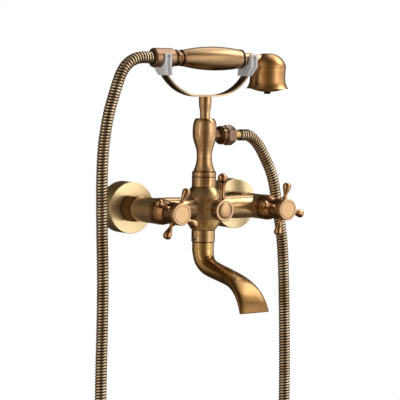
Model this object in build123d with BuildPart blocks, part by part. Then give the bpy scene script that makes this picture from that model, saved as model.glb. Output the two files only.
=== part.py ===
from build123d import *

import os
from math import atan2, cos, dist, pi, radians, sin, tan

os.makedirs("parts", exist_ok=True)

# Exposed bath and shower mixer for wall mounting: two ceramic valves on a cast body, a
# diverter, a swivel spout below, and a riser above that feeds the hose and carries the
# cradle for the handset. The origin lies on the wall, midway between the two inlets.
# +X is to the right as the user sees it, -Y points away from the wall and +Z is up.

# Clearances
fit_gap = 0.05
seat_gap = 0.1
turn_gap = 0.4
rest_gap = 0.35

# Wall connections
inlet_centres = 150.0
wall_thread_radius = 10.48
wall_thread_length = 16.0
inlet_bore_radius = 7.0
union_thread_radius = 13.22
union_thread_length = 14.0
union_waist_radius = 11.5
flange_radius = 29.8
flange_depth = 22.0
flange_wall = 1.6
flange_rounding = 0.6
union_nut_flats = 29.0
union_nut_length = 16.0
union_nut_lip = 3.2
union_nut_offset = 1.2
washer_thickness = 2.0
tail_collar_thickness = 2.0
tail_collar_radius = 12.4
tail_radius = 10.6

# Cast body
body_depth = 59.0
barrel_radius = 14.4
barrel_front = 78.5
barrel_edge = 0.8
arm_radius = 13.8
arm_bore_radius = 6.5
arm_flare_start = 50.0
arm_flare_end = 11.5
arm_flare_radius = 19.3
ball_radius = 23.0
ball_half_height = 24.8
ball_end_radius = 14.0
stub_radius = 10.5
stub_bore_radius = 8.6
top_stub_length = 11.0
bottom_stub_length = 6.5
diverter_boss_radius = 13.9
diverter_boss_reach = 19.0

# Ceramic valves
cartridge_length = 35.0
cartridge_thread_radius = 9.95
cartridge_thread_length = 11.0
cartridge_shell_radius = 9.0
cartridge_cavity_radius = 7.6
cartridge_neck_radius = 7.0
cartridge_hex_flats = 20.0
cartridge_hex_length = 3.0
seal_thickness = 2.0
seal_radius = 9.2
disc_radius = 7.5
disc_thickness = 2.5
disc_port_radius = 2.1
disc_port_offset = 4.2
drive_plate_thickness = 2.2
spindle_radius = 4.0
window_width = 6.0
window_length = 6.0

# Bonnets and cross handles
bonnet_ring_radius = 14.7
bonnet_ring_length = 5.4
bonnet_groove = 0.4
bonnet_taper_start = 14.2
bonnet_taper_end = 10.6
bonnet_length = 18.5
bonnet_wall = 3.2
hub_radius = 12.6
hub_back_radius = 9.0
hub_length = 19.0
hub_shoulder = 6.5
hub_web = 10.6
prong_reach = 31.0
prong_depth = 14.0
prong_root_radius = 3.5
prong_stem_radius = 2.3
prong_tip_radius = 4.8
prong_stem_place = 16.6
prong_tip_place = 26.6
hot_cross_angle = 62.0
cold_cross_angle = 77.0
handle_screw_radius = 2.0
handle_screw_head = 5.0
handle_screw_length = 9.0
screw_head_height = 2.6
screw_slot_width = 1.0
screw_slot_depth = 1.1
cap_radius = 12.5
cap_spigot_radius = 9.0
cap_spigot_length = 2.6
cap_side = 5.4
cap_rounding = 1.3
cap_disc_radius = 10.0
cap_groove = 0.7

# Diverter
diverter_bore_radius = 9.05
diverter_cavity_length = 28.0
diverter_ring_radius = 13.6
diverter_ring_length = 2.4
diverter_barrel_radius = 12.7
diverter_bonnet_length = 11.6
diverter_bonnet_wall = 2.2
diverter_drum_radius = 7.0
diverter_drum_length = 17.0
diverter_port_radius = 4.0
diverter_stem_radius = 3.5
diverter_neck_radius = 6.0
diverter_hub_radius = 12.4
diverter_hub_length = 9.4
diverter_cap_edge = 1.4
diverter_cap_dome = 1.8
lever_place = 4.7
lever_top = 42.4
lever_ball_radius = 5.6
lever_ring_height = 31.8
lever_collar_radius = 4.9
lever_waist_radius = 2.8
lever_waist_height = 22.5
lever_foot_radius = 4.6

# Riser
riser_collar_radius = 14.0
riser_collar_height = 17.5
riser_collar_edge = 0.6
riser_collar_band = 4.8
riser_collar_groove = 0.35
riser_foot_radius = 12.35
riser_foot_height = 1.2
riser_waist_radius = 8.8
riser_waist_height = 60.5
riser_bulb_radius = 14.05
riser_bulb_height = 87.0
riser_shoulder_radius = 10.6
riser_top = 103.5
riser_bore_radius = 6.0
post_spigot_radius = 4.0
post_spigot_length = 8.0
post_neck_radius = 5.8
post_neck_length = 5.5
post_collar_radius = 7.3
post_ring_drop = 8.8
post_ring_groove = 0.5
post_length = 25.1

# Hose outlet on the riser
outlet_height = 84.0
outlet_neck_radius = 6.0
outlet_collar_start = 21.8
outlet_collar_length = 4.4
outlet_collar_radius = 10.8
outlet_thread_radius = 8.33
outlet_bore_radius = 4.5
outlet_thread_end = 34.0
outlet_nut_start = 28.3
outlet_nut_length = 10.7
outlet_nut_flats = 20.8
outlet_nut_lip = 2.2
outlet_washer_thickness = 1.5
ferrule_radius = 5.7
ferrule_flange_radius = 8.1
ferrule_flange_thickness = 1.2
ferrule_end = 49.6
hose_core_radius = 4.9

# Shower hose
hose_radius = 6.8
hose_root_radius = 6.1
hose_bore_radius = 3.6
hose_rib_count = 196
hose_rib_share = 0.55
hose_route = [
    (41.5, 84.0), (66.0, 84.0), (88.0, 73.2), (102.6, 53.6), (111.0, 8.5), (121.5, -80.0),
    (126.5, -225.0), (124.0, -365.0), (105.0, -439.5), (60.0, -491.5), (-6.0, -512.5),
    (-72.0, -492.5), (-118.0, -439.5), (-137.0, -365.0), (-141.5, -215.0), (-138.5, -75.0),
    (-140.5, 35.0), (-137.0, 95.0), (-126.0, 129.5), (-111.5, 156.5), (-86.5, 172.5),
    (-56.5, 172.5),
]

# Cradle
yoke_width = 12.6
yoke_thickness = 2.0
yoke_flat_half = 11.2
yoke_arc_radius = 57.0
yoke_arc_angle = 57.0
yoke_end_length = 4.0
cradle_screw_radius = 2.5
cradle_screw_head = 4.3
cradle_screw_length = 12.0
cradle_screw_sink = 0.1
clip_offset = 0.18
clip_base_offset = 4.6
clip_base_thickness = 7.0
clip_base_width = 18.0
clip_drop = 19.7
clip_block_drop = 9.5
clip_rise = 5.7
clip_thickness = 8.8
clip_width = 26.0
clip_channel_width = 4.2
clip_channel_depth = 0.8
clip_channel_margin = 3.0
clip_top_rounding = 1.2

# Handset
handset_rise = 13.59
handset_nut_start = -75.0
handset_nut_end = -46.2
handset_nut_radius = 10.9
handset_nut_edge = 1.6
handset_nut_shoulder = 2.2
handset_nut_shoulder_length = 2.6
handset_nut_recess = 3.0
handset_recess_radius = 8.2
handset_nut_lip = 2.0
handset_thread_radius = 8.33
handset_thread_start = -54.5
handset_washer_thickness = 1.5
tail_valley_radius = 8.5
tail_ring_radius = 9.5
tail_ring_end = -38.2
tail_groove_radius = 7.9
tail_flange_radius = 9.5
tail_flange_start = -35.2
grip_start = -32.8
grip_end = 47.6
grip_start_radius = 9.3
grip_belly_radius = 13.7
grip_belly_place = 7.0
grip_end_radius = 10.9
grip_bore_radius = 7.2
spigot_radius = 7.1
spigot_length = 9.0
inner_tube_radius = 5.0
inner_tube_bore = 4.0
black_ring_radius = 11.3
black_ring_length = 2.4
neck_shoulder_radius = 9.4
neck_shoulder_length = 2.2
neck_radius = 7.2
neck_taper_end = 56.0
neck_step_length = 2.6
neck_step_gap = 0.3
neck_end_radius = 5.6
neck_stem_radius = 5.0

# Shower head
bell_rise = 7.1
bell_radius = 21.4
bell_bulge_share = 0.682
bell_bulge_drop = 4.0
bell_shoulder_drop = 14.1
bell_ring_drop = 2.3
bell_ring_step = 0.35
bell_skirt_draft = 0.5
bell_skirt_drop = 28.6
bell_lip_flare = 4.0
bell_height = 41.4
bell_wall = 1.5
bell_boss_radius = 4.6
bell_boss_length = 29.6
face_margin = 2.2
face_edge_thickness = 2.0
face_bulge = 4.4
face_inset = 0.4
face_hole_radius = 0.6
face_rings = [(8.0, 12), (12.5, 20), (17.0, 28)]
gasket_thickness = 1.6
gasket_margin = 1.0
gasket_width = 2.2
bell_ledge_margin = 0.2
bell_ledge_height = 2.0
face_screw_radius = 2.0
face_screw_head = 4.0
face_screw_height = 2.2
face_screw_rounding = 0.8

# Spout
spout_collar_radius = 13.6
spout_collar_height = 14.6
spout_collar_edge = 0.7
spout_flange_radius = 10.4
spout_plug_height = 5.6
spout_slot_radius = 8.95
spout_tail_radius = 8.5
spout_tail_length = 11.0
spout_groove_depth = 1.3
spout_groove_width = 2.0
spout_groove_spacing = 4.5
spout_bore_radius = 6.6
grub_screw_radius = 2.0
grub_screw_length = 4.2
grub_screw_height = -35.6
grub_screw_angle = 188.0
spout_wall = 1.4
spout_tube_width = 25.2
spout_tube_corner = 12.5
# Sections below the straight top: depth, height, tilt below the horizontal, width,
# thickness and corner radius
spout_sections = [
    (59.1, -50.0, 88.0, 25.0, 25.0, 12.4),
    (62.6, -60.5, 62.0, 23.6, 22.6, 11.2),
    (72.0, -67.3, 24.0, 21.6, 20.4, 10.1),
    (88.0, -71.2, 11.0, 20.4, 19.0, 9.4),
    (108.0, -74.9, 11.0, 22.0, 18.0, 8.8),
    (128.0, -80.0, 20.0, 28.0, 14.4, 6.6),
    (143.0, -88.2, 42.0, 34.0, 9.4, 3.6),
    (152.2, -98.6, 62.0, 37.6, 6.2, 1.6),
    (158.6, -110.4, 70.0, 40.6, 4.4, 0.9),
]

half_centres = inlet_centres / 2
union_nut_back = flange_depth + union_nut_offset
union_nut_front = union_nut_back + union_nut_length
tail_collar_front = union_nut_front - union_nut_lip - seat_gap
tail_collar_back = tail_collar_front - tail_collar_thickness
union_front = tail_collar_back - washer_thickness
barrel_back = union_nut_front + turn_gap
valve_seat = barrel_front - cartridge_length
disc_back = valve_seat + seal_thickness
bonnet_front = barrel_front + bonnet_length
hub_back = bonnet_front + turn_gap
hub_front = hub_back + hub_length
web_front = hub_back + hub_web
body_plane = Plane(origin=(0, -body_depth, 0), x_dir=(1, 0, 0), z_dir=(0, -1, 0))
riser_axis = Axis((0, -body_depth, 0), (0, 0, 1))

# Heights and places that follow from the ones above, from the riser up to the shower head
post_top = riser_top + post_length
post_neck_top = riser_top + post_neck_length
post_ring_height = post_top - post_ring_drop
yoke_turn = radians(yoke_arc_angle)
yoke_end_x = yoke_flat_half + yoke_arc_radius * sin(yoke_turn) + yoke_end_length * cos(yoke_turn)
yoke_end_rise = yoke_arc_radius * (1 - cos(yoke_turn)) + yoke_end_length * sin(yoke_turn)
handset_height = post_top + yoke_thickness / 2 + yoke_end_rise + handset_rise
clip_x = yoke_end_x - clip_offset
clip_base_x = clip_x - clip_base_offset
clip_bottom = handset_height - clip_drop
clip_block_bottom = handset_height - clip_block_drop
clip_top = handset_height + clip_rise
bell_top = handset_height + bell_rise
bell_bulge_radius = bell_radius * bell_bulge_share
bell_bulge_height = bell_top - bell_bulge_drop
bell_shoulder_height = bell_top - bell_shoulder_drop
bell_ring_height = bell_shoulder_height - bell_ring_drop
bell_skirt_radius = bell_radius - bell_skirt_draft
bell_skirt_height = bell_top - bell_skirt_drop
bell_lip_radius = bell_skirt_radius + bell_lip_flare
bell_lip_height = bell_top - bell_height
bell_boss_bottom = bell_top - bell_boss_length
bell_x = clip_x + clip_thickness / 2 + turn_gap + bell_lip_radius
neck_step_end = bell_x - bell_radius - neck_step_gap
neck_step_start = neck_step_end - neck_step_length
face_radius = bell_lip_radius - bell_wall - face_margin
bell_ledge_radius = face_radius - bell_ledge_margin
gasket_radius = face_radius - gasket_margin
gasket_inner_radius = gasket_radius - gasket_width


def save(piece, label):
    """Name a finished piece and write it to its own file."""
    piece.part.label = label
    export_step(piece.part, f"parts/{label}.step")


def valve_section(x):
    """Half section through a valve axis: local x is the radius, local y the depth."""
    return Plane(origin=(x, 0, 0), x_dir=(1, 0, 0), z_dir=(0, 0, -1))


def valve_axis(x):
    return Axis((x, 0, 0), (0, -1, 0))


def depth_plane(x, depth, z=0.0):
    """Plane parallel to the wall, facing the user: local x is +X and local y is +Z."""
    return Plane(origin=(x, -depth, z), x_dir=(1, 0, 0), z_dir=(0, -1, 0))


def turned(section, axis, outline):
    """Solid of revolution from a closed outline of straight lines."""
    with BuildPart() as piece:
        with BuildSketch(section):
            with BuildLine():
                Polyline(*outline, close=True)
            make_face()
        revolve(axis=axis)
    return piece


def ring_outline(inner, outer, start, end):
    return [(inner, start), (outer, start), (outer, end), (inner, end)]


def hex_nut(base, length, flats, thread_radius, lip, lip_radius):
    """Union nut with chamfered corners, threaded from its base up to a narrower lip."""
    corner = flats / 3**0.5
    chamfer_length = (corner - flats / 2) * 0.7
    section = Plane(
        origin=base.origin, x_dir=base.x_dir, z_dir=base.x_dir.cross(base.z_dir)
    )
    with BuildPart() as nut:
        with BuildSketch(base):
            RegularPolygon(flats / 2, 6, major_radius=False)
        extrude(amount=length)
        with BuildSketch(section):
            with BuildLine():
                Polyline(
                    (0, 0),
                    (flats / 2, 0),
                    (corner, chamfer_length),
                    (corner, length - chamfer_length),
                    (flats / 2, length),
                    (0, length),
                    close=True,
                )
            make_face()
        revolve(axis=Axis(base.origin, base.z_dir), mode=Mode.INTERSECT)
        with BuildSketch(base):
            Circle(thread_radius)
        extrude(amount=length - lip, mode=Mode.SUBTRACT)
        with BuildSketch(base):
            Circle(lip_radius)
        extrude(amount=length, mode=Mode.SUBTRACT)
    return nut


def slotted_screw(head_plane, shank_radius, shank_length, head_radius, head_height):
    """Screw whose head sits on the plane and whose shank runs back from it."""
    with BuildPart() as screw:
        with BuildSketch(head_plane):
            Circle(head_radius)
        extrude(amount=head_height)
        with BuildSketch(head_plane):
            Circle(shank_radius)
        extrude(amount=-shank_length)
        with BuildSketch(head_plane.offset(head_height)):
            Rectangle(2 * head_radius, screw_slot_width)
        extrude(amount=-screw_slot_depth, mode=Mode.SUBTRACT)
    return screw


# Wall flanges, unions and union nuts
def wall_side(side, x):
    with BuildPart() as flange:
        with BuildSketch(depth_plane(x, 0)):
            Circle(flange_radius)
        extrude(amount=flange_depth)
        fillet(flange.edges().group_by(Axis.Y)[0], flange_rounding)
        with BuildSketch(depth_plane(x, 0)):
            Circle(flange_radius - flange_wall)
        extrude(amount=flange_depth - flange_wall, mode=Mode.SUBTRACT)
        with BuildSketch(depth_plane(x, 0)):
            Circle(union_thread_radius + seat_gap)
        extrude(amount=flange_depth, mode=Mode.SUBTRACT)
    save(flange, f"{side}_wall_flange")

    thread_back = union_front - union_thread_length
    union = turned(
        valve_section(x),
        valve_axis(x),
        [
            (inlet_bore_radius, -wall_thread_length),
            (wall_thread_radius, -wall_thread_length),
            (wall_thread_radius, 0),
            (union_waist_radius, 0),
            (union_waist_radius, thread_back),
            (union_thread_radius, thread_back),
            (union_thread_radius, union_front),
            (inlet_bore_radius, union_front),
        ],
    )
    save(union, f"{side}_wall_union")

    nut = hex_nut(
        depth_plane(x, union_nut_back),
        union_nut_length,
        union_nut_flats,
        union_thread_radius + fit_gap,
        union_nut_lip,
        tail_radius + fit_gap,
    )
    save(nut, f"{side}_union_nut")


# Cast body with its waterways
with BuildPart() as main_body:
    with BuildSketch(body_plane):
        with BuildLine():
            Line((0, -ball_half_height), (ball_end_radius, -ball_half_height))
            ThreePointArc(
                (ball_end_radius, -ball_half_height),
                (ball_radius, 0),
                (ball_end_radius, ball_half_height),
            )
            Line((ball_end_radius, ball_half_height), (0, ball_half_height))
            Line((0, ball_half_height), (0, -ball_half_height))
        make_face()
    revolve(axis=riser_axis)
    with BuildSketch(body_plane):
        with BuildLine():
            Line((-half_centres, 0), (-half_centres, arm_radius))
            Line((-half_centres, arm_radius), (-arm_flare_start, arm_radius))
            Spline(
                (-arm_flare_start, arm_radius),
                (-arm_flare_end, arm_flare_radius),
                tangents=((1, 0), (0.6, 0.8)),
            )
            Line((-arm_flare_end, arm_flare_radius), (-arm_flare_end, 0))
            Line((-arm_flare_end, 0), (-half_centres, 0))
        make_face()
    revolve(axis=Axis((0, -body_depth, 0), (1, 0, 0)))
    with BuildSketch(body_plane):
        with BuildLine():
            Line((half_centres, 0), (half_centres, arm_radius))
            Line((half_centres, arm_radius), (arm_flare_start, arm_radius))
            Spline(
                (arm_flare_start, arm_radius),
                (arm_flare_end, arm_flare_radius),
                tangents=((-1, 0), (-0.6, 0.8)),
            )
            Line((arm_flare_end, arm_flare_radius), (arm_flare_end, 0))
            Line((arm_flare_end, 0), (half_centres, 0))
        make_face()
    revolve(axis=Axis((0, -body_depth, 0), (1, 0, 0)))
    for x in (-half_centres, half_centres):
        with BuildSketch(valve_section(x)):
            with BuildLine():
                Polyline(
                    (0, tail_collar_back),
                    (tail_collar_radius, tail_collar_back),
                    (tail_collar_radius, tail_collar_front),
                    (tail_radius, tail_collar_front),
                    (tail_radius, barrel_back),
                    (barrel_radius - barrel_edge, barrel_back),
                    (barrel_radius, barrel_back + barrel_edge),
                    (barrel_radius, barrel_front),
                    (0, barrel_front),
                    close=True,
                )
            make_face()
        revolve(axis=valve_axis(x))
    with BuildSketch(body_plane):
        Circle(diverter_boss_radius)
    extrude(amount=diverter_boss_reach)
    with BuildSketch(body_plane.offset(diverter_boss_reach)):
        Circle(diverter_ring_radius + turn_gap)
    extrude(amount=ball_radius - diverter_boss_reach, mode=Mode.SUBTRACT)
    with BuildSketch(Plane.XY.offset(-ball_half_height - bottom_stub_length)):
        with Locations((0, -body_depth)):
            Circle(stub_radius)
    extrude(amount=2 * ball_half_height + bottom_stub_length + top_stub_length)
    # Bores: valve chambers, cross bore, diverter cavity and the way up and down
    for x in (-half_centres, half_centres):
        with BuildSketch(depth_plane(x, barrel_front)):
            Circle(cartridge_thread_radius + fit_gap)
        extrude(amount=-cartridge_length, mode=Mode.SUBTRACT)
        with BuildSketch(depth_plane(x, barrel_front)):
            Circle(inlet_bore_radius)
        extrude(amount=-(barrel_front - tail_collar_back), mode=Mode.SUBTRACT)
    with BuildSketch(Plane.YZ.offset(-half_centres)):
        with Locations((-body_depth, 0)):
            Circle(arm_bore_radius)
    extrude(amount=inlet_centres, mode=Mode.SUBTRACT)
    with BuildSketch(body_plane.offset(diverter_boss_reach)):
        Circle(diverter_bore_radius)
    extrude(amount=-diverter_cavity_length, mode=Mode.SUBTRACT)
    with BuildSketch(Plane.XY.offset(-ball_half_height - bottom_stub_length)):
        with Locations((0, -body_depth)):
            Circle(stub_bore_radius)
    extrude(amount=bottom_stub_length + ball_half_height / 2, mode=Mode.SUBTRACT)
    with BuildSketch(Plane.XY.offset(-ball_half_height)):
        with Locations((0, -body_depth)):
            Circle(riser_bore_radius)
    extrude(amount=2 * ball_half_height + top_stub_length, mode=Mode.SUBTRACT)
save(main_body, "main_body")


# Ceramic valve of one side, fixed pieces first
def valve_side(side, x, cross_angle):
    section = valve_section(x)
    axis = valve_axis(x)
    drive_back = disc_back + 2 * disc_thickness + 2 * fit_gap
    cavity_front = drive_back + drive_plate_thickness + turn_gap
    thread_back = barrel_front - cartridge_thread_length
    neck_front = bonnet_front - seat_gap
    with BuildPart() as cartridge:
        with BuildSketch(section):
            with BuildLine():
                Polyline(
                    (0, disc_back),
                    (cartridge_shell_radius, disc_back),
                    (cartridge_shell_radius, thread_back),
                    (cartridge_thread_radius, thread_back),
                    (cartridge_thread_radius, barrel_front),
                    (cartridge_neck_radius, barrel_front),
                    (cartridge_neck_radius, neck_front),
                    (0, neck_front),
                    close=True,
                )
            make_face()
        revolve(axis=axis)
        with BuildSketch(depth_plane(x, barrel_front)):
            RegularPolygon(cartridge_hex_flats / 2, 6, major_radius=False)
        extrude(amount=cartridge_hex_length)
        with BuildSketch(depth_plane(x, disc_back)):
            Circle(cartridge_cavity_radius)
        extrude(amount=cavity_front - disc_back, mode=Mode.SUBTRACT)
        with BuildSketch(depth_plane(x, disc_back)):
            Circle(spindle_radius + fit_gap)
        extrude(amount=neck_front - disc_back, mode=Mode.SUBTRACT)
        with BuildSketch(Plane.XY.offset(-window_width / 2)):
            with Locations((x, -(drive_back + window_length / 2))):
                Rectangle(4 * cartridge_shell_radius, window_length)
        extrude(amount=window_width, mode=Mode.SUBTRACT)
    save(cartridge, f"{side}_cartridge")

    with BuildPart() as spindle:
        with BuildSketch(depth_plane(x, drive_back)):
            Circle(disc_radius)
        extrude(amount=drive_plate_thickness)
        with BuildSketch(depth_plane(x, drive_back)):
            Circle(spindle_radius)
        extrude(amount=web_front - fit_gap - drive_back)
        with BuildSketch(depth_plane(x, web_front)):
            Circle(handle_screw_radius + fit_gap)
        extrude(amount=-(handle_screw_length + turn_gap), mode=Mode.SUBTRACT)
    save(spindle, f"{side}_spindle")

    with BuildPart() as moving_disc:
        with BuildSketch(depth_plane(x, disc_back + disc_thickness + fit_gap)):
            Circle(disc_radius)
            with Locations((0, disc_port_offset)):
                Circle(disc_port_radius, mode=Mode.SUBTRACT)
        extrude(amount=disc_thickness)
    save(moving_disc, f"{side}_moving_disc")

    with BuildPart() as bonnet:
        ring_front = barrel_front + bonnet_ring_length
        hollow = cartridge_hex_flats / 3**0.5 + seat_gap
        with BuildSketch(section):
            with BuildLine():
                Polyline(
                    (cartridge_neck_radius + seat_gap, bonnet_front),
                    (cartridge_neck_radius + seat_gap, barrel_front + bonnet_wall + seat_gap),
                    (hollow, barrel_front + bonnet_wall + seat_gap),
                    (hollow, barrel_front),
                    (bonnet_ring_radius, barrel_front),
                    (bonnet_ring_radius, ring_front),
                    (bonnet_taper_start - bonnet_groove, ring_front),
                    (bonnet_taper_start - bonnet_groove, ring_front + bonnet_groove),
                    (bonnet_taper_start, ring_front + bonnet_groove),
                )
                Spline(
                    (bonnet_taper_start, ring_front + bonnet_groove),
                    (bonnet_taper_end, bonnet_front),
                    tangents=((0, 1), (-0.45, 1)),
                )
                Line(
                    (bonnet_taper_end, bonnet_front),
                    (cartridge_neck_radius + seat_gap, bonnet_front),
                )
            make_face()
        revolve(axis=axis)
    save(bonnet, f"{side}_bonnet")

    # Hub with four teardrop prongs
    with BuildPart() as cross_handle:
        with BuildSketch(section):
            with BuildLine():
                Line((0, hub_back), (hub_back_radius, hub_back))
                Spline(
                    (hub_back_radius, hub_back),
                    (hub_radius, hub_back + hub_shoulder),
                    tangents=((0.2, 1), (0.1, 1)),
                )
                Polyline(
                    (hub_radius, hub_back + hub_shoulder),
                    (hub_radius, hub_front),
                    (0, hub_front),
                    (0, hub_back),
                )
            make_face()
        revolve(axis=axis)
        for turn in range(4):
            angle = radians(cross_angle + 90 * turn)
            outward = (cos(angle), 0, sin(angle))
            prong = Plane(
                origin=(x, -(hub_back + prong_depth), 0), x_dir=outward, z_dir=(0, 1, 0)
            )
            with BuildSketch(prong):
                with BuildLine():
                    Line((hub_radius / 2, 0), (hub_radius / 2, prong_root_radius))
                    Line(
                        (hub_radius / 2, prong_root_radius),
                        (hub_radius - fit_gap, prong_root_radius),
                    )
                    Spline(
                        (hub_radius - fit_gap, prong_root_radius),
                        (prong_stem_place, prong_stem_radius),
                        (prong_tip_place, prong_tip_radius),
                        tangents=((1, -1.4), (1, 0.1)),
                    )
                    Spline(
                        (prong_tip_place, prong_tip_radius),
                        (prong_reach, 0),
                        tangents=((1, 0.1), (0, -1)),
                    )
                    Line((prong_reach, 0), (hub_radius / 2, 0))
                make_face()
            revolve(axis=Axis(prong.origin, prong.x_dir))
        with BuildSketch(depth_plane(x, hub_back)):
            Circle(spindle_radius + fit_gap)
        extrude(amount=hub_length, mode=Mode.SUBTRACT)
        with BuildSketch(depth_plane(x, web_front)):
            Circle(cap_spigot_radius + fit_gap)
        extrude(amount=hub_length, mode=Mode.SUBTRACT)
    save(cross_handle, f"{side}_cross_handle")

    screw = slotted_screw(
        depth_plane(x, web_front),
        handle_screw_radius,
        handle_screw_length,
        handle_screw_head,
        screw_head_height,
    )
    save(screw, f"{side}_handle_screw")

    cap_front = hub_front + cap_side
    with BuildPart() as index_cap:
        with BuildSketch(section):
            with BuildLine():
                Polyline(
                    (cap_radius, cap_front - cap_rounding),
                    (cap_radius, hub_front),
                    (cap_spigot_radius, hub_front),
                    (cap_spigot_radius, hub_front - cap_spigot_length),
                    (0, hub_front - cap_spigot_length),
                    (0, cap_front),
                    (cap_disc_radius - cap_groove, cap_front),
                    (cap_disc_radius - cap_groove, cap_front - cap_groove),
                    (cap_disc_radius, cap_front - cap_groove),
                    (cap_disc_radius, cap_front),
                    (cap_radius - cap_rounding, cap_front),
                )
                RadiusArc(
                    (cap_radius - cap_rounding, cap_front),
                    (cap_radius, cap_front - cap_rounding),
                    cap_rounding,
                )
            make_face()
        revolve(axis=axis)
    save(index_cap, f"{side}_index_cap")


# Pairs of small seals and discs, one solid for each side
def pair_of_rings(label, inner, outer, start, end):
    with BuildPart() as pair:
        for x in (-half_centres, half_centres):
            with BuildSketch(valve_section(x)):
                with BuildLine():
                    Polyline(*ring_outline(inner, outer, start, end), close=True)
                make_face()
            revolve(axis=valve_axis(x))
    save(pair, label)


for side, x, cross_angle in (
    ("hot", -half_centres, hot_cross_angle),
    ("cold", half_centres, cold_cross_angle),
):
    wall_side(side, x)
    valve_side(side, x, cross_angle)
pair_of_rings(
    "inlet_washers", inlet_bore_radius, tail_collar_radius, union_front, tail_collar_back
)
pair_of_rings(
    "seat_seals", inlet_bore_radius - disc_port_radius, seal_radius, valve_seat, disc_back
)
with BuildPart() as fixed_discs:
    for x in (-half_centres, half_centres):
        with BuildSketch(depth_plane(x, disc_back)):
            Circle(disc_radius)
            with Locations((0, disc_port_offset)):
                Circle(disc_port_radius, mode=Mode.SUBTRACT)
        extrude(amount=disc_thickness)
save(fixed_discs, "fixed_discs")

# Diverter: cage in the body, drum on a stem, bonnet, lever hub and cap
diverter_section = valve_section(0)
diverter_axis = valve_axis(0)
boss_front = body_depth + diverter_boss_reach
cage_back = boss_front - diverter_cavity_length
drum_front = cage_back + diverter_drum_length
diverter_bonnet_front = boss_front + diverter_bonnet_length
diverter_hub_back = diverter_bonnet_front + turn_gap
diverter_hub_front = diverter_hub_back + diverter_hub_length
lever_depth = diverter_hub_back + lever_place
cage_hex_flats = 2 * (diverter_barrel_radius - diverter_bonnet_wall - seat_gap) * 0.86
diverter_web = diverter_hub_back + diverter_hub_length / 2
with BuildPart() as diverter_cage:
    with BuildSketch(depth_plane(0, cage_back)):
        Circle(diverter_bore_radius - fit_gap)
    extrude(amount=diverter_cavity_length)
    with BuildSketch(depth_plane(0, boss_front)):
        RegularPolygon(cage_hex_flats / 2, 6, major_radius=False)
    extrude(amount=diverter_ring_length)
    with BuildSketch(depth_plane(0, boss_front)):
        Circle(diverter_neck_radius)
    extrude(amount=diverter_bonnet_length - seat_gap)
    with BuildSketch(depth_plane(0, cage_back)):
        Circle(diverter_drum_radius + fit_gap)
    extrude(amount=diverter_drum_length + turn_gap, mode=Mode.SUBTRACT)
    with BuildSketch(depth_plane(0, cage_back)):
        Circle(diverter_stem_radius + fit_gap)
    extrude(amount=diverter_cavity_length + diverter_bonnet_length, mode=Mode.SUBTRACT)
    for direction in (Plane.XY, Plane.YZ):
        with BuildSketch(direction.offset(-2 * diverter_bore_radius)):
            with Locations((0, -body_depth) if direction == Plane.XY else (-body_depth, 0)):
                Circle(diverter_port_radius)
        extrude(amount=4 * diverter_bore_radius, mode=Mode.SUBTRACT)
save(diverter_cage, "diverter_cage")

with BuildPart() as diverter_drum:
    with BuildSketch(depth_plane(0, cage_back)):
        Circle(diverter_drum_radius)
    extrude(amount=diverter_drum_length)
    with BuildSketch(depth_plane(0, drum_front)):
        Circle(diverter_stem_radius)
    extrude(amount=diverter_web - fit_gap - drum_front)
    with BuildSketch(Plane.XY):
        with Locations((0, -body_depth)):
            Circle(diverter_port_radius)
    extrude(amount=2 * diverter_drum_radius, mode=Mode.SUBTRACT)
    with BuildSketch(Plane.YZ.offset(-2 * diverter_drum_radius)):
        with Locations((-body_depth, 0)):
            Circle(diverter_port_radius)
    extrude(amount=4 * diverter_drum_radius, mode=Mode.SUBTRACT)
    with BuildSketch(depth_plane(0, diverter_web)):
        Circle(handle_screw_radius + fit_gap)
    extrude(amount=-(handle_screw_length + turn_gap), mode=Mode.SUBTRACT)
save(diverter_drum, "diverter_drum")

diverter_bonnet = turned(
    diverter_section,
    diverter_axis,
    [
        (diverter_neck_radius + seat_gap, diverter_bonnet_front),
        (diverter_neck_radius + seat_gap, boss_front + diverter_ring_length + seat_gap),
        (diverter_barrel_radius - diverter_bonnet_wall, boss_front + diverter_ring_length + seat_gap),
        (diverter_barrel_radius - diverter_bonnet_wall, boss_front),
        (diverter_ring_radius, boss_front),
        (diverter_ring_radius, boss_front + diverter_ring_length),
        (diverter_barrel_radius - bonnet_groove, boss_front + diverter_ring_length),
        (diverter_barrel_radius - bonnet_groove, boss_front + diverter_ring_length + bonnet_groove),
        (diverter_barrel_radius, boss_front + diverter_ring_length + bonnet_groove),
        (diverter_barrel_radius, diverter_bonnet_front),
    ],
)
save(diverter_bonnet, "diverter_bonnet")

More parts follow.
